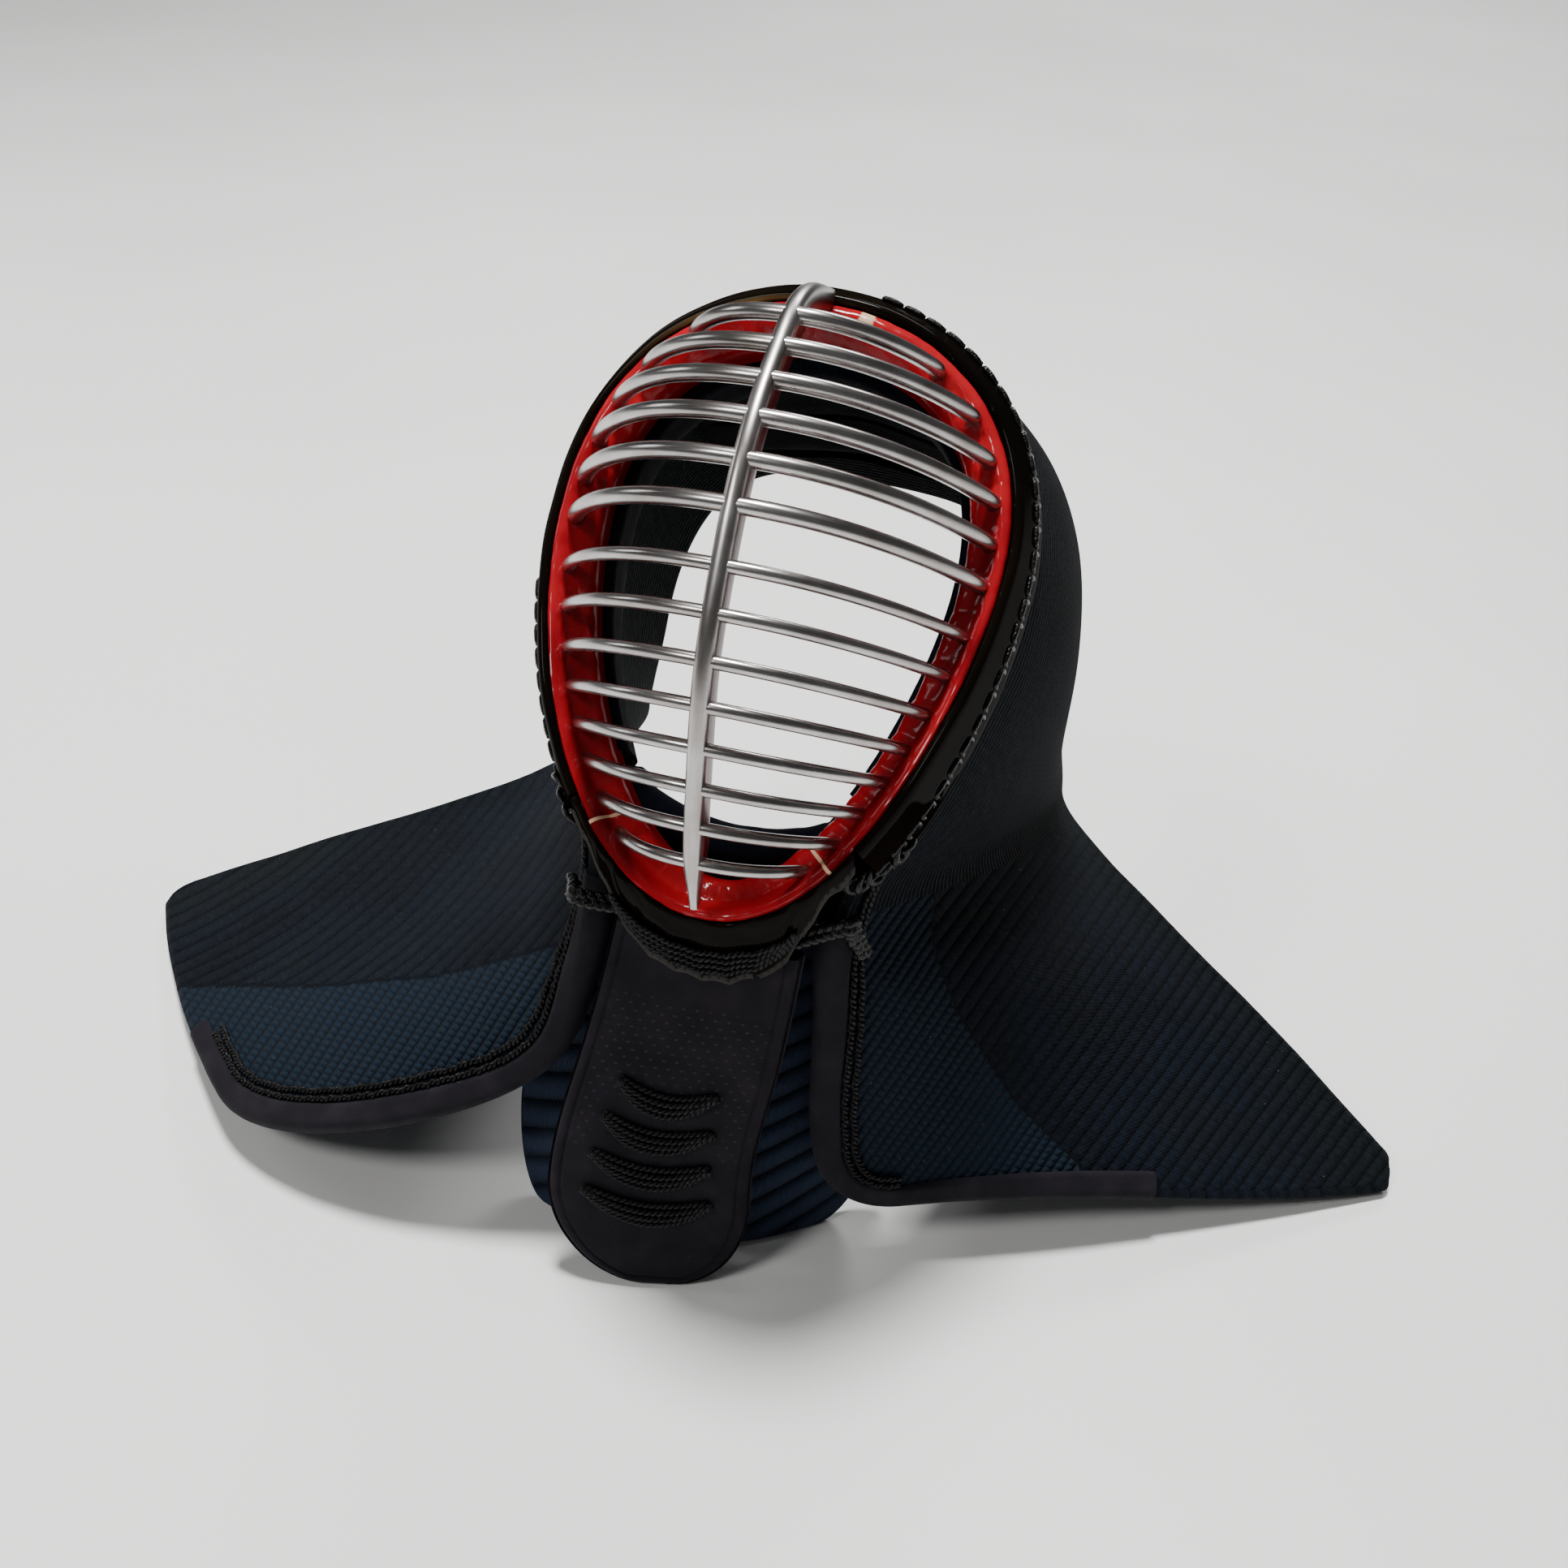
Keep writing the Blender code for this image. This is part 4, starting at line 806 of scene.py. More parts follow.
# Band: smooth lacquered strip that widens towards the back, with a few slow dents and painted highlights along its
# edges
def makeBand():
    front, back = guard["lip"] + guard["gap"], guard["lip"] + band["reach"]
    control = [
        (front, -0.0035, 1), (front, -0.0010, 1), (front + 0.0006, 0.0004, 1), (front + 0.0016, 0.0009, 1),
        (front + 0.0030, 0.0004, 1), (front + 0.0047, -0.0022, 0.95), (front + 0.0072, -0.0080, 0.6),
        (front + 0.0098, -0.0150, 0.25), (back - 0.0002, -0.0218, 0), (back, -band["depth"], 0),
        (back - band["thick"], -band["depth"], 0), (front + 0.0068, -0.0150, 0.25), (front + 0.0045, -0.0085, 0.6),
        (front + 0.0024, -0.0050, 0.95),
    ]
    section = smoothSection(control, 40)
    angles = np.linspace(-band["jaw"], band["jaw"], band["stations"]) * math.pi
    out, depth = section[:, 0], section[:, 1]
    dent = ripple(angles[:, None] * guard["meanRadius"], depth[None, :], 0.045, 3) * band["dent"]
    plain = rimRows(section, angles)
    shape = closeSweep(plain, plain + turned(*eggNormal(angles), 0.0)[:, None] * dent[..., None])
    # painted highlight: a brown-gold glint along the front edge at the upper left, and a faint one along the rear edge
    # on the right
    frontEdge = bell(out - front - 0.0006, 0.0005) * bell(depth - 0.0004, 0.0006)
    rearEdge = bell(out - back, 0.0008) * bell(depth + band["depth"], 0.0008)
    atRight = smoothStep(angles, 0.6, 1.0) * (1 - smoothStep(angles, 1.9, 2.2))
    atRight = atRight * (0.6 + 0.4 * ripple(angles, 0, 0.35, 2))
    gilt = 0.9 * frontEdge * bell(angles + 0.34, 0.26)[:, None] + 0.06 * rearEdge * atRight[:, None]
    makeRings("lacquerBand", shape, blackLacquer, masks={"gilt": np.pad(gilt, ((2, 2), (0, 0)), "edge")},
              replaces=("band",), slot="black_lacquer")


makeBand()
print("band made")

hood = dict(
    thick=0.009, tuck=0.005, tuckSlope=0.60, backEdge=0.298, archTop=0.284, archHalf=0.124, bulge=0.016,
    rightReach=0.335, leftReach=0.374, jawHeight=0.205, wingStart=0.1207,
)
# Head sections from crown to jaw: share of the way, back edge x and z as shares of the arch, bulge
headSections = [
    (0.000, 0.00, 1.000, 0.75), (0.167, 0.34, 0.990, 0.75), (0.333, 0.62, 0.925, 1.10), (0.500, 0.83, 0.760, 1.15),
    (0.667, 0.91, 0.590, 1.00), (0.833, 0.96, 0.475, 0.80), (1.000, 1.00, 0.387, 0.55),
]
# Wing lines: how far down, then x, y and z as shares for the front edge, two places between and the back edge
wingLines = {
    1: [(0.33, (0.148, 0.150, 0.75), (0.305, 0.36, 0.70), (0.445, 0.64, 0.52), (0.550, 0.83, 0.40)),
        (0.67, (0.155, 0.150, 0.44), (0.360, 0.31, 0.43), (0.570, 0.55, 0.33), (0.770, 0.69, 0.25)),
        (1.00, (0.185, 0.145, 0.15), (0.440, 0.26, 0.17), (0.715, 0.40, 0.09), (1.000, 0.57, 0.015))],
    -1: [(0.33, (0.148, 0.110, 0.70), (0.290, 0.31, 0.62), (0.400, 0.61, 0.48), (0.480, 0.81, 0.40)),
         (0.67, (0.230, 0.060, 0.38), (0.400, 0.18, 0.42), (0.550, 0.46, 0.35), (0.680, 0.68, 0.28)),
         (1.00, (0.465, -0.100, 0.12), (0.620, 0.05, 0.12), (0.810, 0.27, 0.07), (1.000, 0.57, 0.015))],
}
cornerSize = {1: (0.20, 0.12), -1: (0.62, 0.40)}
tipSize = {1: (0.075, 0.055), -1: (0.040, 0.036)}


# Control lines of the hood from the left tip over the crown to the right tip, and their places
def hoodLines():
    table = np.array(headSections)
    steps = round(band["jaw"] * guard["stations"])
    angles = np.arange(-steps, steps + 1) * math.pi / guard["stations"]
    share = np.abs(angles) / (band["jaw"] * math.pi)
    backX = spline(table[:, 0], table[:, 1], share) * np.sign(angles) * hood["archHalf"]
    backZ = spline(table[:, 0], table[:, 2], share) * hood["archTop"]
    bulge = spline(table[:, 0], table[:, 3], share) * hood["bulge"]
    out = guard["lip"] + band["reach"] - band["thick"] - hood["thick"] / 2 - guard["gap"]
    front = rim(angles, out - hood["tuck"] * hood["tuckSlope"], hood["tuck"] - band["depth"])
    back = np.stack([backX, np.full_like(backX, hood["backEdge"]), backZ], axis=1)
    na, nb = eggNormal(angles)
    outward = turned(na, nb, 0.0)
    head = np.stack([front * (1 - v) + back * v + outward * (4 * bulge * v * (1 - v))[:, None]
                     for v in (0.0, 1 / 3, 2 / 3, 1.0)], axis=1)
    lines, knots = [head], [np.sign(angles) * share]
    for side, reach in ((1, hood["rightReach"]), (-1, hood["leftReach"])):
        wing = np.array([line[1:] for line in wingLines[side]]) * (side * reach, hood["backEdge"], hood["jawHeight"])
        at = side * (1 + np.array([line[0] for line in wingLines[side]]))
        lines = lines + [wing] if side > 0 else [wing[::-1]] + lines
        knots = knots + [at] if side > 0 else [at[::-1]] + knots
    return np.concatenate(knots), np.concatenate(lines)


hoodKnots, hoodControl = hoodLines()


# Rounds the square front corner of a wing: each way gives up more the nearer the other one is to the corner
def roundedCorner(down, across, size):
    p, q = np.clip((1 - down) / size[0], 0, 1), np.clip(across / size[1], 0, 1)
    newP = 1 - (1 - p) * np.sqrt(1 - (1 - q) ** 2 / 2)
    newQ = 1 - (1 - q) * np.sqrt(1 - (1 - p) ** 2 / 2)
    inside = (p < 1) & (q < 1)
    return np.where(inside, 1 - newP * size[0], down), np.where(inside, newQ * size[1], across)


# Middle surface of the hood at places u along it, one each way to the jaw and two to the tips, and v from front to
# back: a spline along u, and across it the cubic through four points
def rawHood(u, v):
    u, v = np.broadcast_arrays(np.asarray(u, float), np.asarray(v, float))
    points = spline(hoodKnots, hoodControl, u.ravel())
    places, total = (0.0, 1 / 3, 2 / 3, 1.0), 0
    for k, here in enumerate(places):
        weight = np.prod([(v.ravel() - other) / (here - other) for other in places if other != here], axis=0)
        total = total + points[:, k] * weight[:, None]
    return total.reshape(u.shape + (3,))


# Places on the hood with the wings' front corners and tips rounded
def roundedPlaces(u, v):
    u, v = np.broadcast_arrays(np.asarray(u, float), np.asarray(v, float))
    for side in (1, -1):
        down, across = roundedCorner(side * u - 1, v, cornerSize[side])
        down, back = roundedCorner(down, 1 - across, tipSize[side])
        chosen = side * u > 1
        u, v = np.where(chosen, side * (down + 1), u), np.where(chosen, 1 - back, v)
    return u, v


def hoodAt(u, v):
    return rawHood(*roundedPlaces(u, v))


# Normal of the hood's middle surface, kept inside the sheet
def hoodNormal(u, v, step=0.004):
    u, v = np.broadcast_arrays(np.asarray(u, float), np.asarray(v, float))
    return surfaceNormal(hoodAt, np.clip(u, -2 + step, 2 - step), np.clip(v, step, 1 - step), step, step)


hoodSign = 1.0 if hoodNormal(0.0, 0.5)[2] > 0 else -1.0


# Flat size of a cloth grid: its longest row and column, and the cross products of its cells' two diagonals, worked out
# and then left unused
def noteSize(grid):
    across = np.linalg.norm(np.diff(grid, axis=1), axis=2).sum(axis=1).max()
    along = np.linalg.norm(np.diff(grid, axis=0), axis=2).sum(axis=0).max()
    cells = np.cross(grid[1:, 1:] - grid[:-1, :-1], grid[1:, :-1] - grid[:-1, 1:])


# Part of the hood as a padded sheet; its map runs across the sewn rows and along them, its corner mask marks the
# front corner's finer cloth
def makeHoodPart(name, u0, u1, rows, columns, node, quiltMap):
    u, v = np.meshgrid(np.linspace(u0, u1, rows), np.linspace(0, 1, columns), indexing="ij")
    grid = hoodAt(u, v)
    normal = hoodNormal(u, v) * hoodSign
    uv, corner, faded = quiltMap(grid, u, v)
    grid = grid + normal * (ripple(grid[..., 0], grid[..., 1] + grid[..., 2], 0.11, 4) * 0.0009)[..., None]
    if (gridNormal(grid)[rows // 2, columns // 2] @ normal[rows // 2, columns // 2]) < 0:
        grid, uv, corner, faded = (field[:, ::-1] for field in (grid, uv, corner, faded))
    grid[..., 2] = np.maximum(grid[..., 2], hood["thick"] / 2 - 0.0005)
    noteSize(grid)
    return closedSheet(name, grid, hood["thick"], hoodQuilt, uv, masks={"corner": corner, "faded": faded},
                       replaces=(node,), slot="indigo_quilt")


# Pitches are in the photograph's pixels, slants in degrees; a seam is a line of x against y or y against x
quiltRows = dict(
    scale=2900, fan=(-42, 544), fanPitch=13.5, slant=53, pitch=16.0, cornerSlant=55, cornerPitch=10.7,
    seamLeft=([271, 410, 539, 606, 696], [1220, 1221, 1210, 1195, 1166]),
    seamRight=([1165, 1240, 1350, 1440], [1140, 1170, 1240, 1330]),
)


# Rows as they run in the photograph: on the right wing straight lines at one slant, on the left one circles about a
# far point; the front corners are separate pieces with straight rows; a map unit is a row of the quilt's pitch
def wingMap(side):
    look = quiltRows

    def straight(px, py, slant, pitch):
        sin, cos = math.sin(math.radians(slant)), math.cos(math.radians(slant))
        return np.stack([(px * sin + py * cos) * quiltLook["pitch"] / pitch, (px * cos - py * sin) / look["scale"]], -1)

    def mapped(grid, u, v):
        px, py = seenAt(grid)
        if side > 0:
            corner = 1.0 * (px < np.interp(py, *look["seamRight"]))
            main = straight(px, py, look["slant"], look["pitch"])
        else:
            corner = 1.0 * (py > np.interp(px, *look["seamLeft"]))
            dx, dy = px - look["fan"][0], py - look["fan"][1]
            far = np.hypot(dx, dy)
            turn = np.arctan2(dy, dx) * far.mean() / look["scale"]
            main = np.stack([far * quiltLook["pitch"] / look["fanPitch"], turn], -1)
        front = straight(px, py, look["cornerSlant"], look["cornerPitch"])
        faded = smoothStep(v, 0.72, 1.0) * (0.8 if side > 0 else 0.5)
        return np.where(corner[..., None] > 0.5, front, main), corner, faded
    return mapped


def headMap(grid, u, v):
    rows = 0.16 / 0.0021
    return np.stack([v * rows * quiltLook["pitch"], u * 0.30], -1), 0 * u, 0.35 + smoothStep(v, 0.5, 1.0) * 0.5


jaw = 1 + hood["wingStart"]
headCloth = makeHoodPart("headCloth", -jaw, jaw, 220, 106, "hood", headMap)
rightWing = makeHoodPart("rightWingCloth", jaw, 2.0, 140, 170, "right_wing", wingMap(1))
leftWing = makeHoodPart("leftWingCloth", -2.0, -jaw, 140, 170, "left_wing", wingMap(-1))
print("hood made")


# Places round a wing's front corner, rounded: down the front edge from a start, then across the bottom edge
def cornerEdge(side, start, end):
    s, t = np.linspace(0, 1, 60), np.linspace(0, 1, 40)[1:]
    down = np.concatenate([start + (1 - start) * s, 1 + 0 * t])
    across = np.concatenate([0 * s, end * t])
    return evenly(np.stack(roundedCorner(down, across, cornerSize[side]), axis=1), 0.0035)


# Points and normals of the hood at unrounded places on one wing
def onWing(side, places):
    u, v = side * (1 + places[..., 0]), places[..., 1]
    return rawHood(u, v), surfaceNormal(rawHood, u, v, 0.003, 0.003) * hoodSign


# Lines inside an edge at even distances from it: small steps square to the edge, each turned into places by solving
# for the surface's two directions
def insideLines(side, edge, distances):
    lines, places, done, h = [], edge, 0.0, 0.003
    grid, normal = onWing(side, edge)
    inward = unit(np.cross(unit(np.gradient(grid, axis=0)), normal))
    middle, _ = onWing(side, np.array([[0.6, 0.45]]))
    inward *= np.sign((inward * (middle - grid)).sum(axis=1).mean())
    for distance in distances:
        for _ in range(2):
            u, v = side * (1 + places[:, 0]), places[:, 1]
            du = rawHood(u + side * h, v) - rawHood(u - side * h, v)
            dv = rawHood(u, v + h) - rawHood(u, v - h)
            directions = np.linalg.pinv(np.stack([du, dv], axis=-1) / (2 * h))
            places = places + np.einsum("nij,nj->ni", directions, inward * (distance - done) / 2)
        done = distance
        lines.append(places)
    return lines


binding = dict(
    start=0.1207, end={1: 0.55, -1: 0.57}, wide={1: 0.0088, -1: 0.0084}, thick=0.0024, turn=0.0046,
    cordStart=0.03, cordEnd={1: 0.115, -1: 0.520}, cordWide=0.0070,
    cord=dict(step=0.0006, radius=(0.00088, 0.00088), pitch=0.0056, sides=7),
)


# Binding: suede folded over the cloth's edge, a flange on each face and a half round turn between them, soft with
# slow ripples; the section runs out over the top, round and back inside it
def makeBinding(side, name, node):
    look = binding
    outer = cornerEdge(side, look["start"], look["end"][side])
    edge, edgeNormal = onWing(side, outer)
    along = unit(np.gradient(edge, axis=0))
    inner = [outer] + insideLines(side, outer, look["wide"][side] * np.linspace(0, 1, 9)[1:])
    flange, normals = zip(*[onWing(side, line) for line in inner[::-1]])
    reach = unit(np.cross(along, edgeNormal))
    reach *= -np.sign((reach * (flange[0] - edge)).sum(axis=1))[:, None]
    half = hood["thick"] / 2
    proud = half + look["thick"] * np.minimum(1, 0.25 + 2.6 * np.linspace(0, 1, 9) ** 0.7)
    run = lengthAlong(edge)
    wave = ripple(run, run * 0, 0.055, side + 3) * 0.0007
    columns = [grid + normal * (high + wave * 0.7)[:, None] for grid, normal, high in zip(flange, normals, proud)]
    for turn in np.linspace(0, math.pi, 11)[1:-1]:
        out = reach * (math.sin(turn) * look["turn"] + wave * 0.5)[:, None]
        columns.append(edge + edgeNormal * (math.cos(turn) * proud[-1]) + out)
    columns += [grid - normal * high for grid, normal, high in zip(flange[::-1], normals[::-1], proud[::-1])]
    columns += [grid - normal * half * 0.6 for grid, normal in zip(flange[::4], normals[::4])]
    columns += [grid + normal * half * 0.6 for grid, normal in zip(flange[::-4], normals[::-4])]
    rows = np.stack(columns, axis=1)
    rows[..., 2] = np.maximum(rows[..., 2], 0.0002)
    ends = [(drawnIn(rows[i], 0.05)[None], (drawnIn(rows[i], 0.9) + sign * along[i] * 0.0008)[None])
            for i, sign in ((0, -1), (-1, 1))]
    rows = np.concatenate([*ends[0], rows, *ends[1][::-1]])
    return makeRings(name, rows, bindingSuede, replaces=(node,), slot="dark_suede", weld=1e-5)


# Corner braid: two wavering cords just inside the binding
def makeCornerCord(side, name, node):
    look = binding
    outer = cornerEdge(side, look["cordStart"], look["cordEnd"][side])
    distances = look["wide"][side] + look["cordWide"] * np.array([0.22, 0.78])
    tubes = []
    for seed, places in zip((1.6, 8.4), insideLines(side, outer, distances)):
        tubes += laidCord(*onWing(side, places), hood["thick"] / 2 + 0.0011, **look["cord"],
                          wobble=lambda run: ripple(run, run * 0, 0.007, seed) * 0.0007)
    return makeCord(name, tubes, blackCord, (node,))


for side, name, wing in ((1, "right", rightWing), (-1, "left", leftWing)):
    edging = [makeBinding(side, name + "Binding", name + "_edge_binding"),
              makeCornerCord(side, name + "CornerCord", name + "_corner_braid")]

chin = dict(
    ends=0.758, drop=0.0385, endShare=0.27, scallop=0.0022, lean=0.25, scallops=11, thick=0.003,
    stitch=0.0040, cords=4, cordReach=0.60, cordDown=0.56, cordHalf=0.17,
    cord=dict(step=0.0005, radius=(0.00080, 0.00082), pitch=0.0054, sides=8),
)


# Chin guard's middle surface: down from the facing's lip to an edge of shallow scallops, leaning back
def chinAt(angle, down):
    share = (angle / math.pi - 1) / (1 - chin["ends"])
    top = rim(angle, guard["lip"] + chin["thick"] / 2 + guard["gap"], -0.0005, 1)
    drop = chin["drop"] * (1 - (1 - chin["endShare"]) * smoothStep(np.abs(share), 0.42, 0.86))
    drop = drop - chin["scallop"] * np.abs(np.sin(share * math.pi * chin["scallops"] / 2))
    drop, down = np.broadcast_arrays(drop, down)
    fall = np.stack([0 * drop, chin["lean"] * drop * down**1.5, -drop * down], axis=-1)
    return top + fall


chinFoot = (0.0, 0.0287, 0.1744)
flaps = dict(
    outer=dict(top=chinFoot[2] + 0.0095, setback=0.0, footY=0.0, half=0.0455, neck=0.88, foot=0.10, bow=0.0,
               thick=0.009, leftWider=1.0,
               sway=((0.0, 0.35, 0.62, 0.84, 1.0), (0.0, -0.0070, -0.0130, -0.0100, -0.0030))),
    inner=dict(top=0.1914, setback=0.070, footY=0.022, half=0.083, neck=0.55, foot=0.76, bow=0.031, thick=0.006,
               sway=((0.0, 0.5, 0.8, 1.0), (0.0, -0.0020, -0.0030, -0.0020)), leftWider=1.09),
    roundOff=0.27, yaw=math.radians(14), drift=-0.006, sink=-0.0007, rim=0.0046, groove=0.0009,
)
flaps["outer"]["setback"] = ((chinFoot[1] + chin["thick"] / 2 + guard["gap"] + 0.0045)
                             * flaps["outer"]["top"] / chinFoot[2])


# Flap's middle surface: straight from the chin to the floor, turned more the lower it is, rounded off at the foot
def flapAt(spec, down, across):
    down, across = np.broadcast_arrays(np.asarray(down, float), np.asarray(across, float))
    ending = flaps["roundOff"]
    roundOff = np.clip((down - 1 + ending) / ending, 0, 1)
    width = spec["foot"] + (1 - spec["foot"]) * np.sqrt(np.clip(1 - roundOff**2, 0, 1))
    width = width * spec["half"] * (spec["neck"] + (1 - spec["neck"]) * np.clip(down / (1 - ending), 0, 1))
    turn, offset = flaps["yaw"] * down**1.5, across * width
    sway = spline(*spec["sway"], down.ravel()).reshape(down.shape)
    offset = offset * np.where(across < 0, spec["leftWider"], 1.0)
    x = flaps["drift"] * down**1.5 + offset * np.cos(turn) + sway
    y = spec["setback"] + (spec["footY"] - spec["setback"]) * down + offset * np.sin(turn)
    y = y + spec["bow"] * (offset / spec["half"]) ** 2
    return np.stack([x, y, spec["top"] * (1 - down) - flaps["sink"] * down], axis=-1), offset


# Distance from each place of a flap to its nearest edge, across by its width and down by its length
def flapEdge(spec, down, across):
    offset = flapAt(spec, down, across)[1]
    half = np.abs(flapAt(spec, down, np.where(across < 0, -1.0, 1.0))[1])
    length = math.hypot(spec["top"], spec["setback"] - spec["footY"])
    slope = np.gradient(half, axis=0) / (np.gradient(down, axis=0) * length)
    return np.minimum((half - np.abs(offset)) / np.sqrt(1 + slope**2), (1 - down) * length), down * length


# How far an edge is rounded off within a reach, by a quarter circle, as a share of its thickness
def rounding(edge, reach):
    return 1 - np.sqrt(1 - (1 - np.clip(edge / reach, 0, 1)) ** 2)


# Throat flap: suede, with a rolled rim inside a stitched groove and a soft fullness in its middle
def makeThroatFlap():
    spec = flaps["outer"]
    down, across = np.meshgrid(1 - (1 - np.linspace(0, 1, 190)) ** 1.15, np.sin(np.linspace(-1, 1, 110) * math.pi / 2),
                               indexing="ij")
    grid, offset = flapAt(spec, down, across)
    edge, run = flapEdge(spec, down, across)
    proud = -spec["thick"] / 2 * rounding(edge, 0.0038) * 0.85
    proud -= flaps["groove"] * bell(edge - flaps["rim"] - 0.0006, 0.0007)
    proud += 0.0008 * smoothStep(edge, 0.006, 0.022) + ripple(offset, run, 0.06, 2) * 0.0004
    dotted = smoothStep(edge, 0.0062, 0.0074) * (1 - smoothStep(down, 0.60, 0.62)) * smoothStep(down, 0.16, 0.18)
    dotted = dotted * np.maximum(1 - smoothStep(down, 0.44, 0.46), smoothStep(np.abs(offset), 0.0285, 0.0295))
    uv = np.stack([offset, run + offset * 0.10], -1)
    if gridNormal(grid)[90, 55, 1] > 0:
        grid, proud, dotted, uv = (field[:, ::-1] for field in (grid, proud, dotted, uv))
    return closedSheet("throatFlapSuede", grid, spec["thick"], flapSuede, uv, proud=proud, under=proud * 0.6,
                       masks={"dotted": dotted}, replaces=("throat_flap",), slot="dark_suede", roundness=0.1)


# Inner flap: quilted in wide slanted rows that stand up between their seams
def makeInnerFlap():
    spec = flaps["inner"]
    down, across = np.meshgrid(np.linspace(0, 1, 180), np.linspace(-1, 1, 110), indexing="ij")
    grid, offset = flapAt(spec, down, across)
    edge, run = flapEdge(spec, down, across)
    slanted = run * 0.85 + offset * 0.50
    sewn = np.abs(np.sin(math.pi * slanted / quiltLook["flapPitch"])) ** 0.5
    proud = (sewn - 1) * 0.0015 * smoothStep(edge, 0.002, 0.006) - spec["thick"] / 2 * rounding(edge, 0.003) * 0.8
    uv = np.stack([slanted, offset], -1)
    if gridNormal(grid)[90, 55, 1] > 0:
        grid, proud, uv = (field[:, ::-1] for field in (grid, proud, uv))
    return closedSheet("innerFlapCloth", grid, spec["thick"], flapQuilt, uv, proud=proud, under=proud,
                       replaces=("inner_throat_flap",), slot="indigo_quilt", roundness=0.1)


makeThroatFlap()
makeInnerFlap()
print("flaps made")

crescents = dict(first=0.455, step=0.108, half=0.036, bow=0.052, reach=(0.52, 0.58, 0.62, 0.66), cords=4,
                 cord=dict(step=0.0005, radius=(0.00082, 0.00084), pitch=0.0056, sides=8))


# Normal of a surface towards the viewer of the face
def frontNormal(surface, p, q, stepP, stepQ):
    normal = surfaceNormal(surface, p, q, stepP, stepQ)
    return normal * np.where(normal[:, 1:2] > 0, -1, 1)


# One raised bow of braid: cords that run side by side, meet at the two ends and sag in the middle
def makeCrescent(number, node):
    look, spec = crescents, flaps["outer"]
    surface = lambda down, across: flapAt(spec, down, across)[0]
    tubes = []
    at = np.linspace(-1, 1, 60)
    for cord in np.linspace(-1, 1, look["cords"]):
        full = np.sqrt(np.clip(1 - at**2, 0.03, 1))
        down = look["first"] + look["step"] * number - look["bow"] * at**2 + cord * look["half"] * 0.80 * full
        across = at * look["reach"][number] * (1 - 0.05 * abs(cord))
        normal = frontNormal(surface, down, across, 0.01, 0.01)
        lift = spec["thick"] / 2 + 0.0018 + 0.0008 * (1 - cord**2)
        tubes += laidCord(surface(down, across), normal, lift, **look["cord"])
    makeCord("flapCord%d" % (number + 1), tubes, blackCord, (node,))


for number in range(4):
    makeCrescent(number, "flap_braid_%d" % (number + 1))
print("crescents made")


# Chin guard: lacquered hide with a pale worn edge, and a row of stitch dents along the scallops
def makeChinGuard():
    angle, down = np.meshgrid(np.linspace(chin["ends"], 2 - chin["ends"], 300) * math.pi, np.linspace(0, 1, 48),
                              indexing="ij")
    grid = chinAt(angle, down)
    length = np.pad(np.linalg.norm(np.diff(grid, axis=1), axis=2).cumsum(axis=1), ((0, 0), (1, 0)))
    edge = length[:, -1:] - length
    run = lengthAlong(grid[:, -1])[:, None]
    worn = smoothStep(edge, 0.0052, 0.0030)
    stitch = (run / chin["stitch"]) % 1 - 0.5
    proud = 0.0009 * bell(edge - 0.0015, 0.0013) - 0.0011 * bell(edge - 0.0036, 0.0007) * bell(stitch, 0.1875)
    proud += ripple(run + 0 * edge, edge * 1.4, 0.028, 6) * 0.0006
    if gridNormal(grid)[150, 24, 1] > 0:
        grid, proud, worn = grid[::-1], proud[::-1], worn[::-1]
    closedSheet("chinGuardHide", grid, chin["thick"], blackLacquer, np.stack([run + 0 * edge, edge], -1), proud=proud,
                masks={"worn": worn * 0.8}, replaces=("chin_guard",), slot="black_lacquer")


# Chin crescent: four cords side by side along the chin guard
def makeChinCord():
    tubes = []
    at = np.linspace(-1, 1, 70)
    for cord in np.linspace(-1, 1, chin["cords"]):
        angle = math.pi * (1 + at * (1 - chin["ends"]) * chin["cordReach"])
        down = chin["cordDown"] + cord * chin["cordHalf"] * np.sqrt(np.clip(1 - at**2, 0.05, 1))
        normal = frontNormal(chinAt, angle, down, 0.01, 0.02)
        tubes += laidCord(chinAt(angle, down), normal, chin["thick"] / 2 + 0.0016, **chin["cord"])
    makeCord("chinCord", tubes, blackCord, ("chin_braid",))


# Places are shares down and across the wing
tieLoop = dict(step=0.0006, plait=0.012, places={
    1: [[0.13, 0.0], [0.165, 0.028], [0.20, 0.050]], -1: [[0.14, 0.0], [0.137, 0.014], [0.134, 0.026]]})


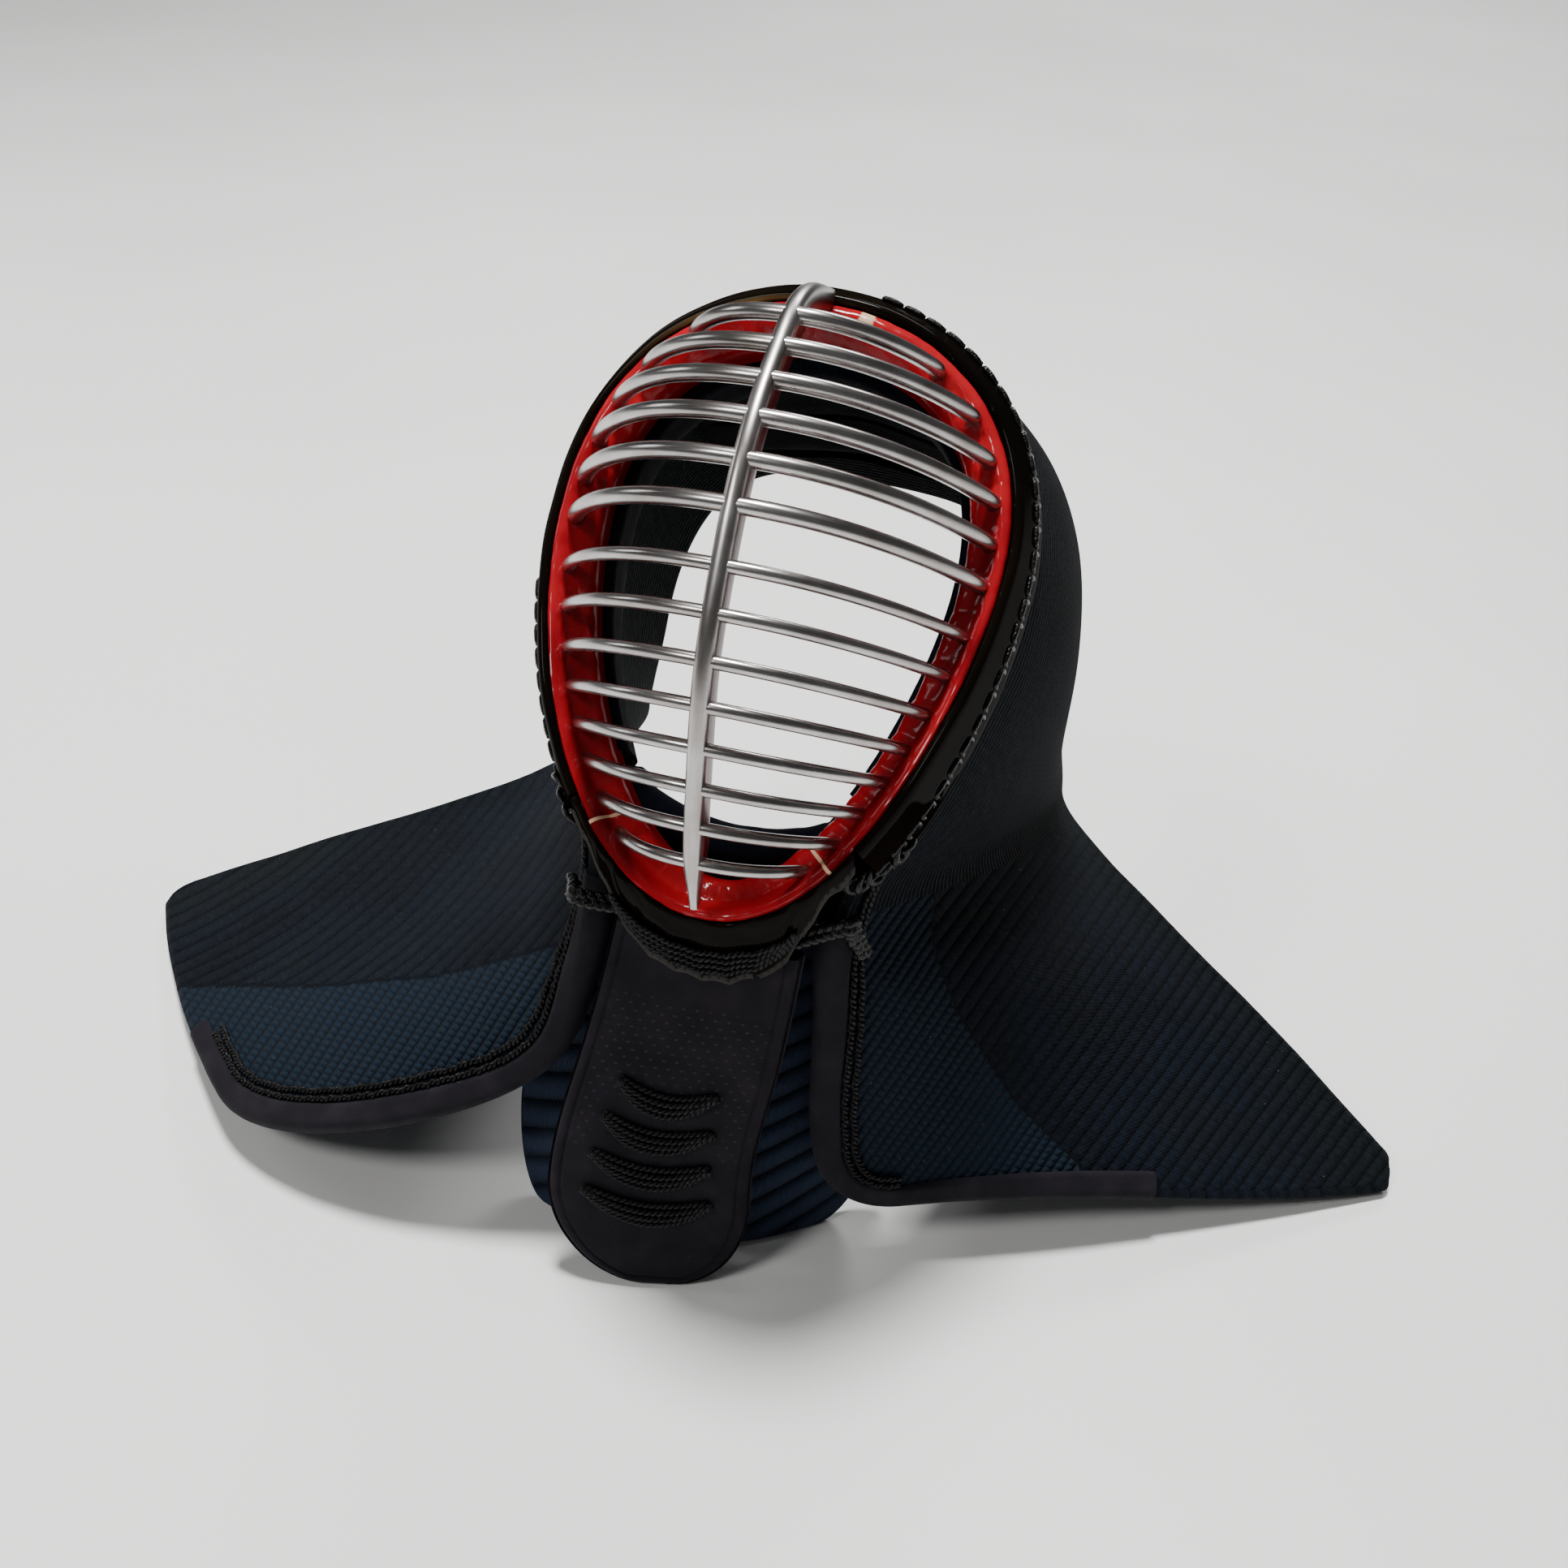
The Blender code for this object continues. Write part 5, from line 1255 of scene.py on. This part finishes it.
# Tie loop: three flat strands plaited, each a sideways wave and half as long a wave up and down
def makeTieLoop(side, name, node):
    look = tieLoop
    start = chinAt(np.array([math.pi * (1 - side * 0.135)]), np.array([1.0]))[0] + (0.0, 0.0057, 0.003)
    grid, normal = onWing(side, np.array(look["places"][side]))
    outward = unit(grid[0] - grid[1])
    turn = grid[0] + normal[0] * 0.0114 + outward * 0.0069
    over = grid + normal * 0.0114
    path = np.stack([start, turn, over[0], (over[0] + over[1]) / 2, over[1], over[2]])
    line = evenly(spline(np.arange(len(path)), path, np.linspace(0, len(path) - 1, 80)), look["step"])
    along, share = unit(np.gradient(line, axis=0)), np.linspace(0, 1, len(line))[:, None]
    sideways = unit(np.cross(along, unit(share * normal[0] + share[::-1] * np.array([0.0, -0.6, 0.8]))))
    rise = unit(np.cross(sideways, along))
    tubes = []
    for strand in range(3):
        phase = 2 * math.pi * (np.arange(len(line)) * look["step"] / look["plait"] + strand / 3)
        path = line + sideways * (np.sin(phase) * 0.0021)[:, None] + rise * (np.sin(2 * phase) * 0.0006)[:, None]
        tubes.append(tubePoints(path, 0.0021, 0.0012, 8, up=rise.mean(axis=0)))
    makeCord(name, tubes, leatherLace, (node,))


makeChinGuard()
makeChinCord()
makeTieLoop(1, "rightTieLoop", "right_tie_loop")
makeTieLoop(-1, "leftTieLoop", "left_tie_loop")
print("chin made")

pads = dict(
    wide=0.018, depth=0.036, ends=0.70, crown=0.2667, crownFrom=0.2938, crownTo=0.798, crownThick=0.012,
    chinGap=0.022, chinHeight=0.022, chinLength=0.034, chinSink=0.018,
    tuft=0.031,
)


# Ring pad: a stuffed roll round the inside of the guard, pinched every few centimetres by its tufting
def makeRingPad():
    top, deep, wide = -facing["wall"] + 0.0040, -facing["wall"] - pads["depth"], pads["wide"]
    control = [
        (-0.70 * wide, top - 0.0022, 0), (-0.58 * wide, top, 0), (0.10 * wide, top, 0),
        (0.26 * wide, top - 0.003, 0), (0.28 * wide, 0.65 * top + 0.35 * deep, 0),
        (0.30 * wide, 0.2 * top + 0.8 * deep, 0), (-0.05 * wide, deep, 0), (-0.38 * wide, 0.1 * top + 0.9 * deep, 0),
        (-0.64 * wide, 0.4 * top + 0.6 * deep, 0), (-0.72 * wide, 0.8 * top + 0.2 * deep, 0),
    ]
    section = smoothSection(control, 44)
    angles = np.linspace(-pads["ends"], pads["ends"], 420) * math.pi
    plain = rimRows(section, angles)
    centre = plain.mean(axis=1, keepdims=True)
    arc = angles * guard["meanRadius"]
    fold = ripple(arc[:, None], section[None, :, 1], 0.022, 7) * 0.018
    pinch = bell((arc / pads["tuft"]) % 1 - 0.5, 0.07)[:, None] * 0.035
    calm = smoothStep(-section[:, 1], -top + 0.002, -top + 0.012)[None, :]
    shape = closeSweep(plain, centre + (plain - centre) * (1 + (fold - pinch) * calm)[..., None])
    return makeRings("ringPadCloth", shape, padCotton, replaces=("inner_ring_pad",), slot="navy_pad")


# Crown pad: a thick patch under the top of the head, full in its middle, pressed in along one cross seam
def makeCrownPad():
    u, v = np.meshgrid(np.linspace(-pads["crown"], pads["crown"], 80),
                       np.linspace(pads["crownFrom"], pads["crownTo"], 80), indexing="ij")
    normal = hoodNormal(u, v) * hoodSign
    grid = hoodAt(u, v) - normal * (hood["thick"] / 2 + 0.0004 + pads["crownThick"] / 2)
    p, q = np.linspace(-1, 1, 80)[:, None], np.linspace(-1, 1, 80)[None, :]
    full = (1 - p**8) * (1 - q**8)
    proud = (full - 1) * 0.0045 - bell(q, 0.03) * 0.0022 * full + ripple(p * 0.06, q * 0.06, 0.05, 3) * 0.0008
    if (gridNormal(grid)[40, 40] @ normal[40, 40]) > 0:
        grid, proud = grid[::-1], proud[::-1]
    uv = np.stack(np.broadcast_arrays(p * 0.06, q * 0.06), -1)
    return closedSheet("crownPadCloth", grid, pads["crownThick"], padCotton, uv, proud=proud,
                       replaces=("crown_pad",), slot="navy_pad")


# Chin pad: a fat roll between the ends of the ring pad, creased across where it bends
def makeChinPad():
    angle = (pads["ends"] + pads["chinGap"]) * math.pi
    a, b = egg(angle)
    shape = np.array([(-0.90, 1.00), (-0.72, 1.12), (0.00, 1.22), (0.72, 1.12), (0.90, 1.00)])
    at = np.linspace(-1, 1, 120)
    lineA = spline(np.linspace(-1, 1, 5), shape[:, 0], at) * a
    lineB = spline(np.linspace(-1, 1, 5), shape[:, 1], at) * b
    line = place(lineA, lineB, endsDepth(lineB) - facing["wall"] - pads["chinSink"])
    swell = 1 + ripple(at * 0.08, at * 0, 0.02, 4) * 0.025
    rings = tubePoints(line, pads["chinHeight"] / 2 * swell, pads["chinLength"] / 2 * swell, 40,
                       up=turned(0.0, 0.0, 1.0))
    points, quads, run = joinTubes([rings])
    return makePiece("chinPadCloth", points, quads, padCotton, uv=run, replaces=("chin_pad",), slot="navy_pad", weld=0)


makeRingPad()
makeCrownPad()
makeChinPad()
print("pads made")

lacing = dict(first={1: 0.055, -1: 0.50}, last=0.742, pitch=0.0098, wide=0.0052, front=-0.0135, back=-0.0205,
              radius=0.0010)


# Lacing: bracket stitches of lace along the back of the band, two bars and a short step for each
def makeLacing():
    look = lacing
    tubes = []
    for side in (1, -1):
        angle = look["first"][side] * math.pi
        while angle < look["last"] * math.pi:
            turn = np.array([0, 0, 0, 0.5, 1, 1, 1]) * look["wide"] / guard["meanRadius"] + angle
            depth = np.array([0.0, 0.5, 1, 1.06, 1, 0.6, 0.25]) * (look["front"] - look["back"]) + look["back"]
            out = guard["lip"] + guard["gap"] + 0.0047 + (band["reach"] - 0.0051) * np.clip(
                (-0.002 - depth) / (band["depth"] - 0.002), 0, 1) ** 0.93
            lift = np.array([-0.0010, 0.0006, 0.0009, 0.0011, 0.0009, 0.0006, -0.0010])
            line = rim(side * turn, out + lift, depth, 0.12)
            line = spline(np.arange(7), line, np.linspace(0, 6, 26))
            tubes.append(tubePoints(line, look["radius"] * 1.25, look["radius"], 7, up=turned(0.0, 0.0, 1.0)))
            speed = float(np.linalg.norm(rim(angle + 0.01, 0.015, 0.0) - rim(angle, 0.015, 0.0)) / 0.01)
            angle += look["pitch"] / speed
    makeCord("bandLacing", tubes, leatherLace)


knots = dict(places={1: [(0.715, 0.0030, -0.020), (0.742, 0.0020, -0.019), (0.768, 0.0, -0.016)],
                     -1: [(0.722, 0.0020, -0.014), (0.752, 0.0015, -0.011)]}, size=0.0072, cord=0.0016)


# Knots of lace at the band's ends: each a closed loop that winds three times round one way and twice the other
def makeKnots():
    tubes = []
    turn = np.linspace(0, 2 * math.pi, 121)
    for side, places in knots["places"].items():
        for number, (share, out, depth) in enumerate(places):
            centre = rim(np.array([side * share * math.pi]), guard["lip"] + 0.0070 + out, depth)[0]
            wave = 0.55 + 0.30 * np.cos(3 * turn)
            local = np.stack([wave * np.cos(2 * turn + number), wave * np.sin(2 * turn + number),
                              0.38 * np.sin(3 * turn)], axis=-1) * knots["size"]
            na, nb = eggNormal(side * share * math.pi)
            outward = turned(na, nb, 0.0)
            forward = turned(0.0, 0.0, 1.0)
            across = unit(np.cross(outward, forward))
            line = centre + local[:, :1] * forward + local[:, 1:2] * across * 1.25 + local[:, 2:] * outward
            tubes.append(tubePoints(line, knots["cord"], knots["cord"] * 0.8, 9, up=outward + 0.31 * forward))
    makeCord("lacingKnots", tubes, leatherLace)


makeLacing()
makeKnots()
print("lacing made")

keyLook = dict(
    area=[  # place, target, size, power, colour
        ((-0.30, 0.50, 3.35), (0.0, 0.10, 0.0), 0.6, 205, (1.0, 0.992, 0.98)),
        ((-1.1, -1.6, 2.5), (0.0, 0.15, 0.1), 0.7, 34, (1.0, 0.99, 0.97)),
        ((-2.3, 0.4, 1.2), (0.0, 0.15, 0.1), 0.8, 6, (0.97, 0.985, 1.0)),
        ((0.3, 4.8, 3.8), (0.2, 4.2, 0.0), 2.0, 190, (1.0, 0.995, 0.985)),
    ],
    sky=(0.82, 0.83, 0.84), skyPower=0.105, floor=(0.80, 0.80, 0.795),
)


def makeFloor():
    material, vector, _ = newMaterial("paleFloor")
    low, high = [tuple(c * k for c in keyLook["floor"]) for k in (0.97, 1.03)]
    shader = material.node_tree.nodes["Principled BSDF"]
    putIn(shader.inputs["Base Color"], ramp(noise(vector, 1.6), [(0.35, low), (0.65, high)]))
    shader.inputs["Roughness"].default_value = 0.65
    mesh = bpy.data.meshes.new("floor")
    mesh.from_pydata([(-9, -9, 0), (9, -9, 0), (9, 12, 0), (-9, 12, 0)], [], [(0, 1, 2, 3)])
    floor = bpy.data.objects.new("floor", mesh)
    bpy.context.scene.collection.objects.link(floor)
    mesh.materials.append(material)


def makeLights():
    for number, (at, target, size, power, colour) in enumerate(keyLook["area"]):
        light = bpy.data.lights.new("softLight%d" % (number + 1), "AREA")
        light.shape, light.size, light.energy, light.color = "DISK", size, power, colour
        lamp = bpy.data.objects.new(light.name, light)
        bpy.context.scene.collection.objects.link(lamp)
        away = np.array(at) - np.array(target)
        away /= np.linalg.norm(away)
        side = unit(np.cross((0.0, 0.0, 1.0), away))
        rise = np.cross(away, side)
        lamp.matrix_world = Matrix([(side[i], rise[i], away[i], at[i]) for i in range(3)] + [(0, 0, 0, 1)])
    world = bpy.data.worlds.new("studio")
    bpy.context.scene.world = world
    world.use_nodes = True
    background = world.node_tree.nodes["Background"]
    background.inputs["Color"].default_value = (*keyLook["sky"], 1.0)
    background.inputs["Strength"].default_value = keyLook["skyPower"]


def makeCamera():
    data = bpy.data.cameras.new("photoCamera")
    data.lens, data.sensor_width = lookout["lens"], lookout["sensor"]
    camera = bpy.data.objects.new("photoCamera", data)
    bpy.context.scene.collection.objects.link(camera)
    right, up, back, at = (lookout[key] for key in ("right", "up", "back", "location"))
    camera.matrix_world = Matrix([(right[i], up[i], back[i], at[i]) for i in range(3)] + [(0, 0, 0, 1)])
    bpy.context.scene.camera = camera


makeFloor()
makeLights()
makeCamera()
print("floor, lights and camera made")
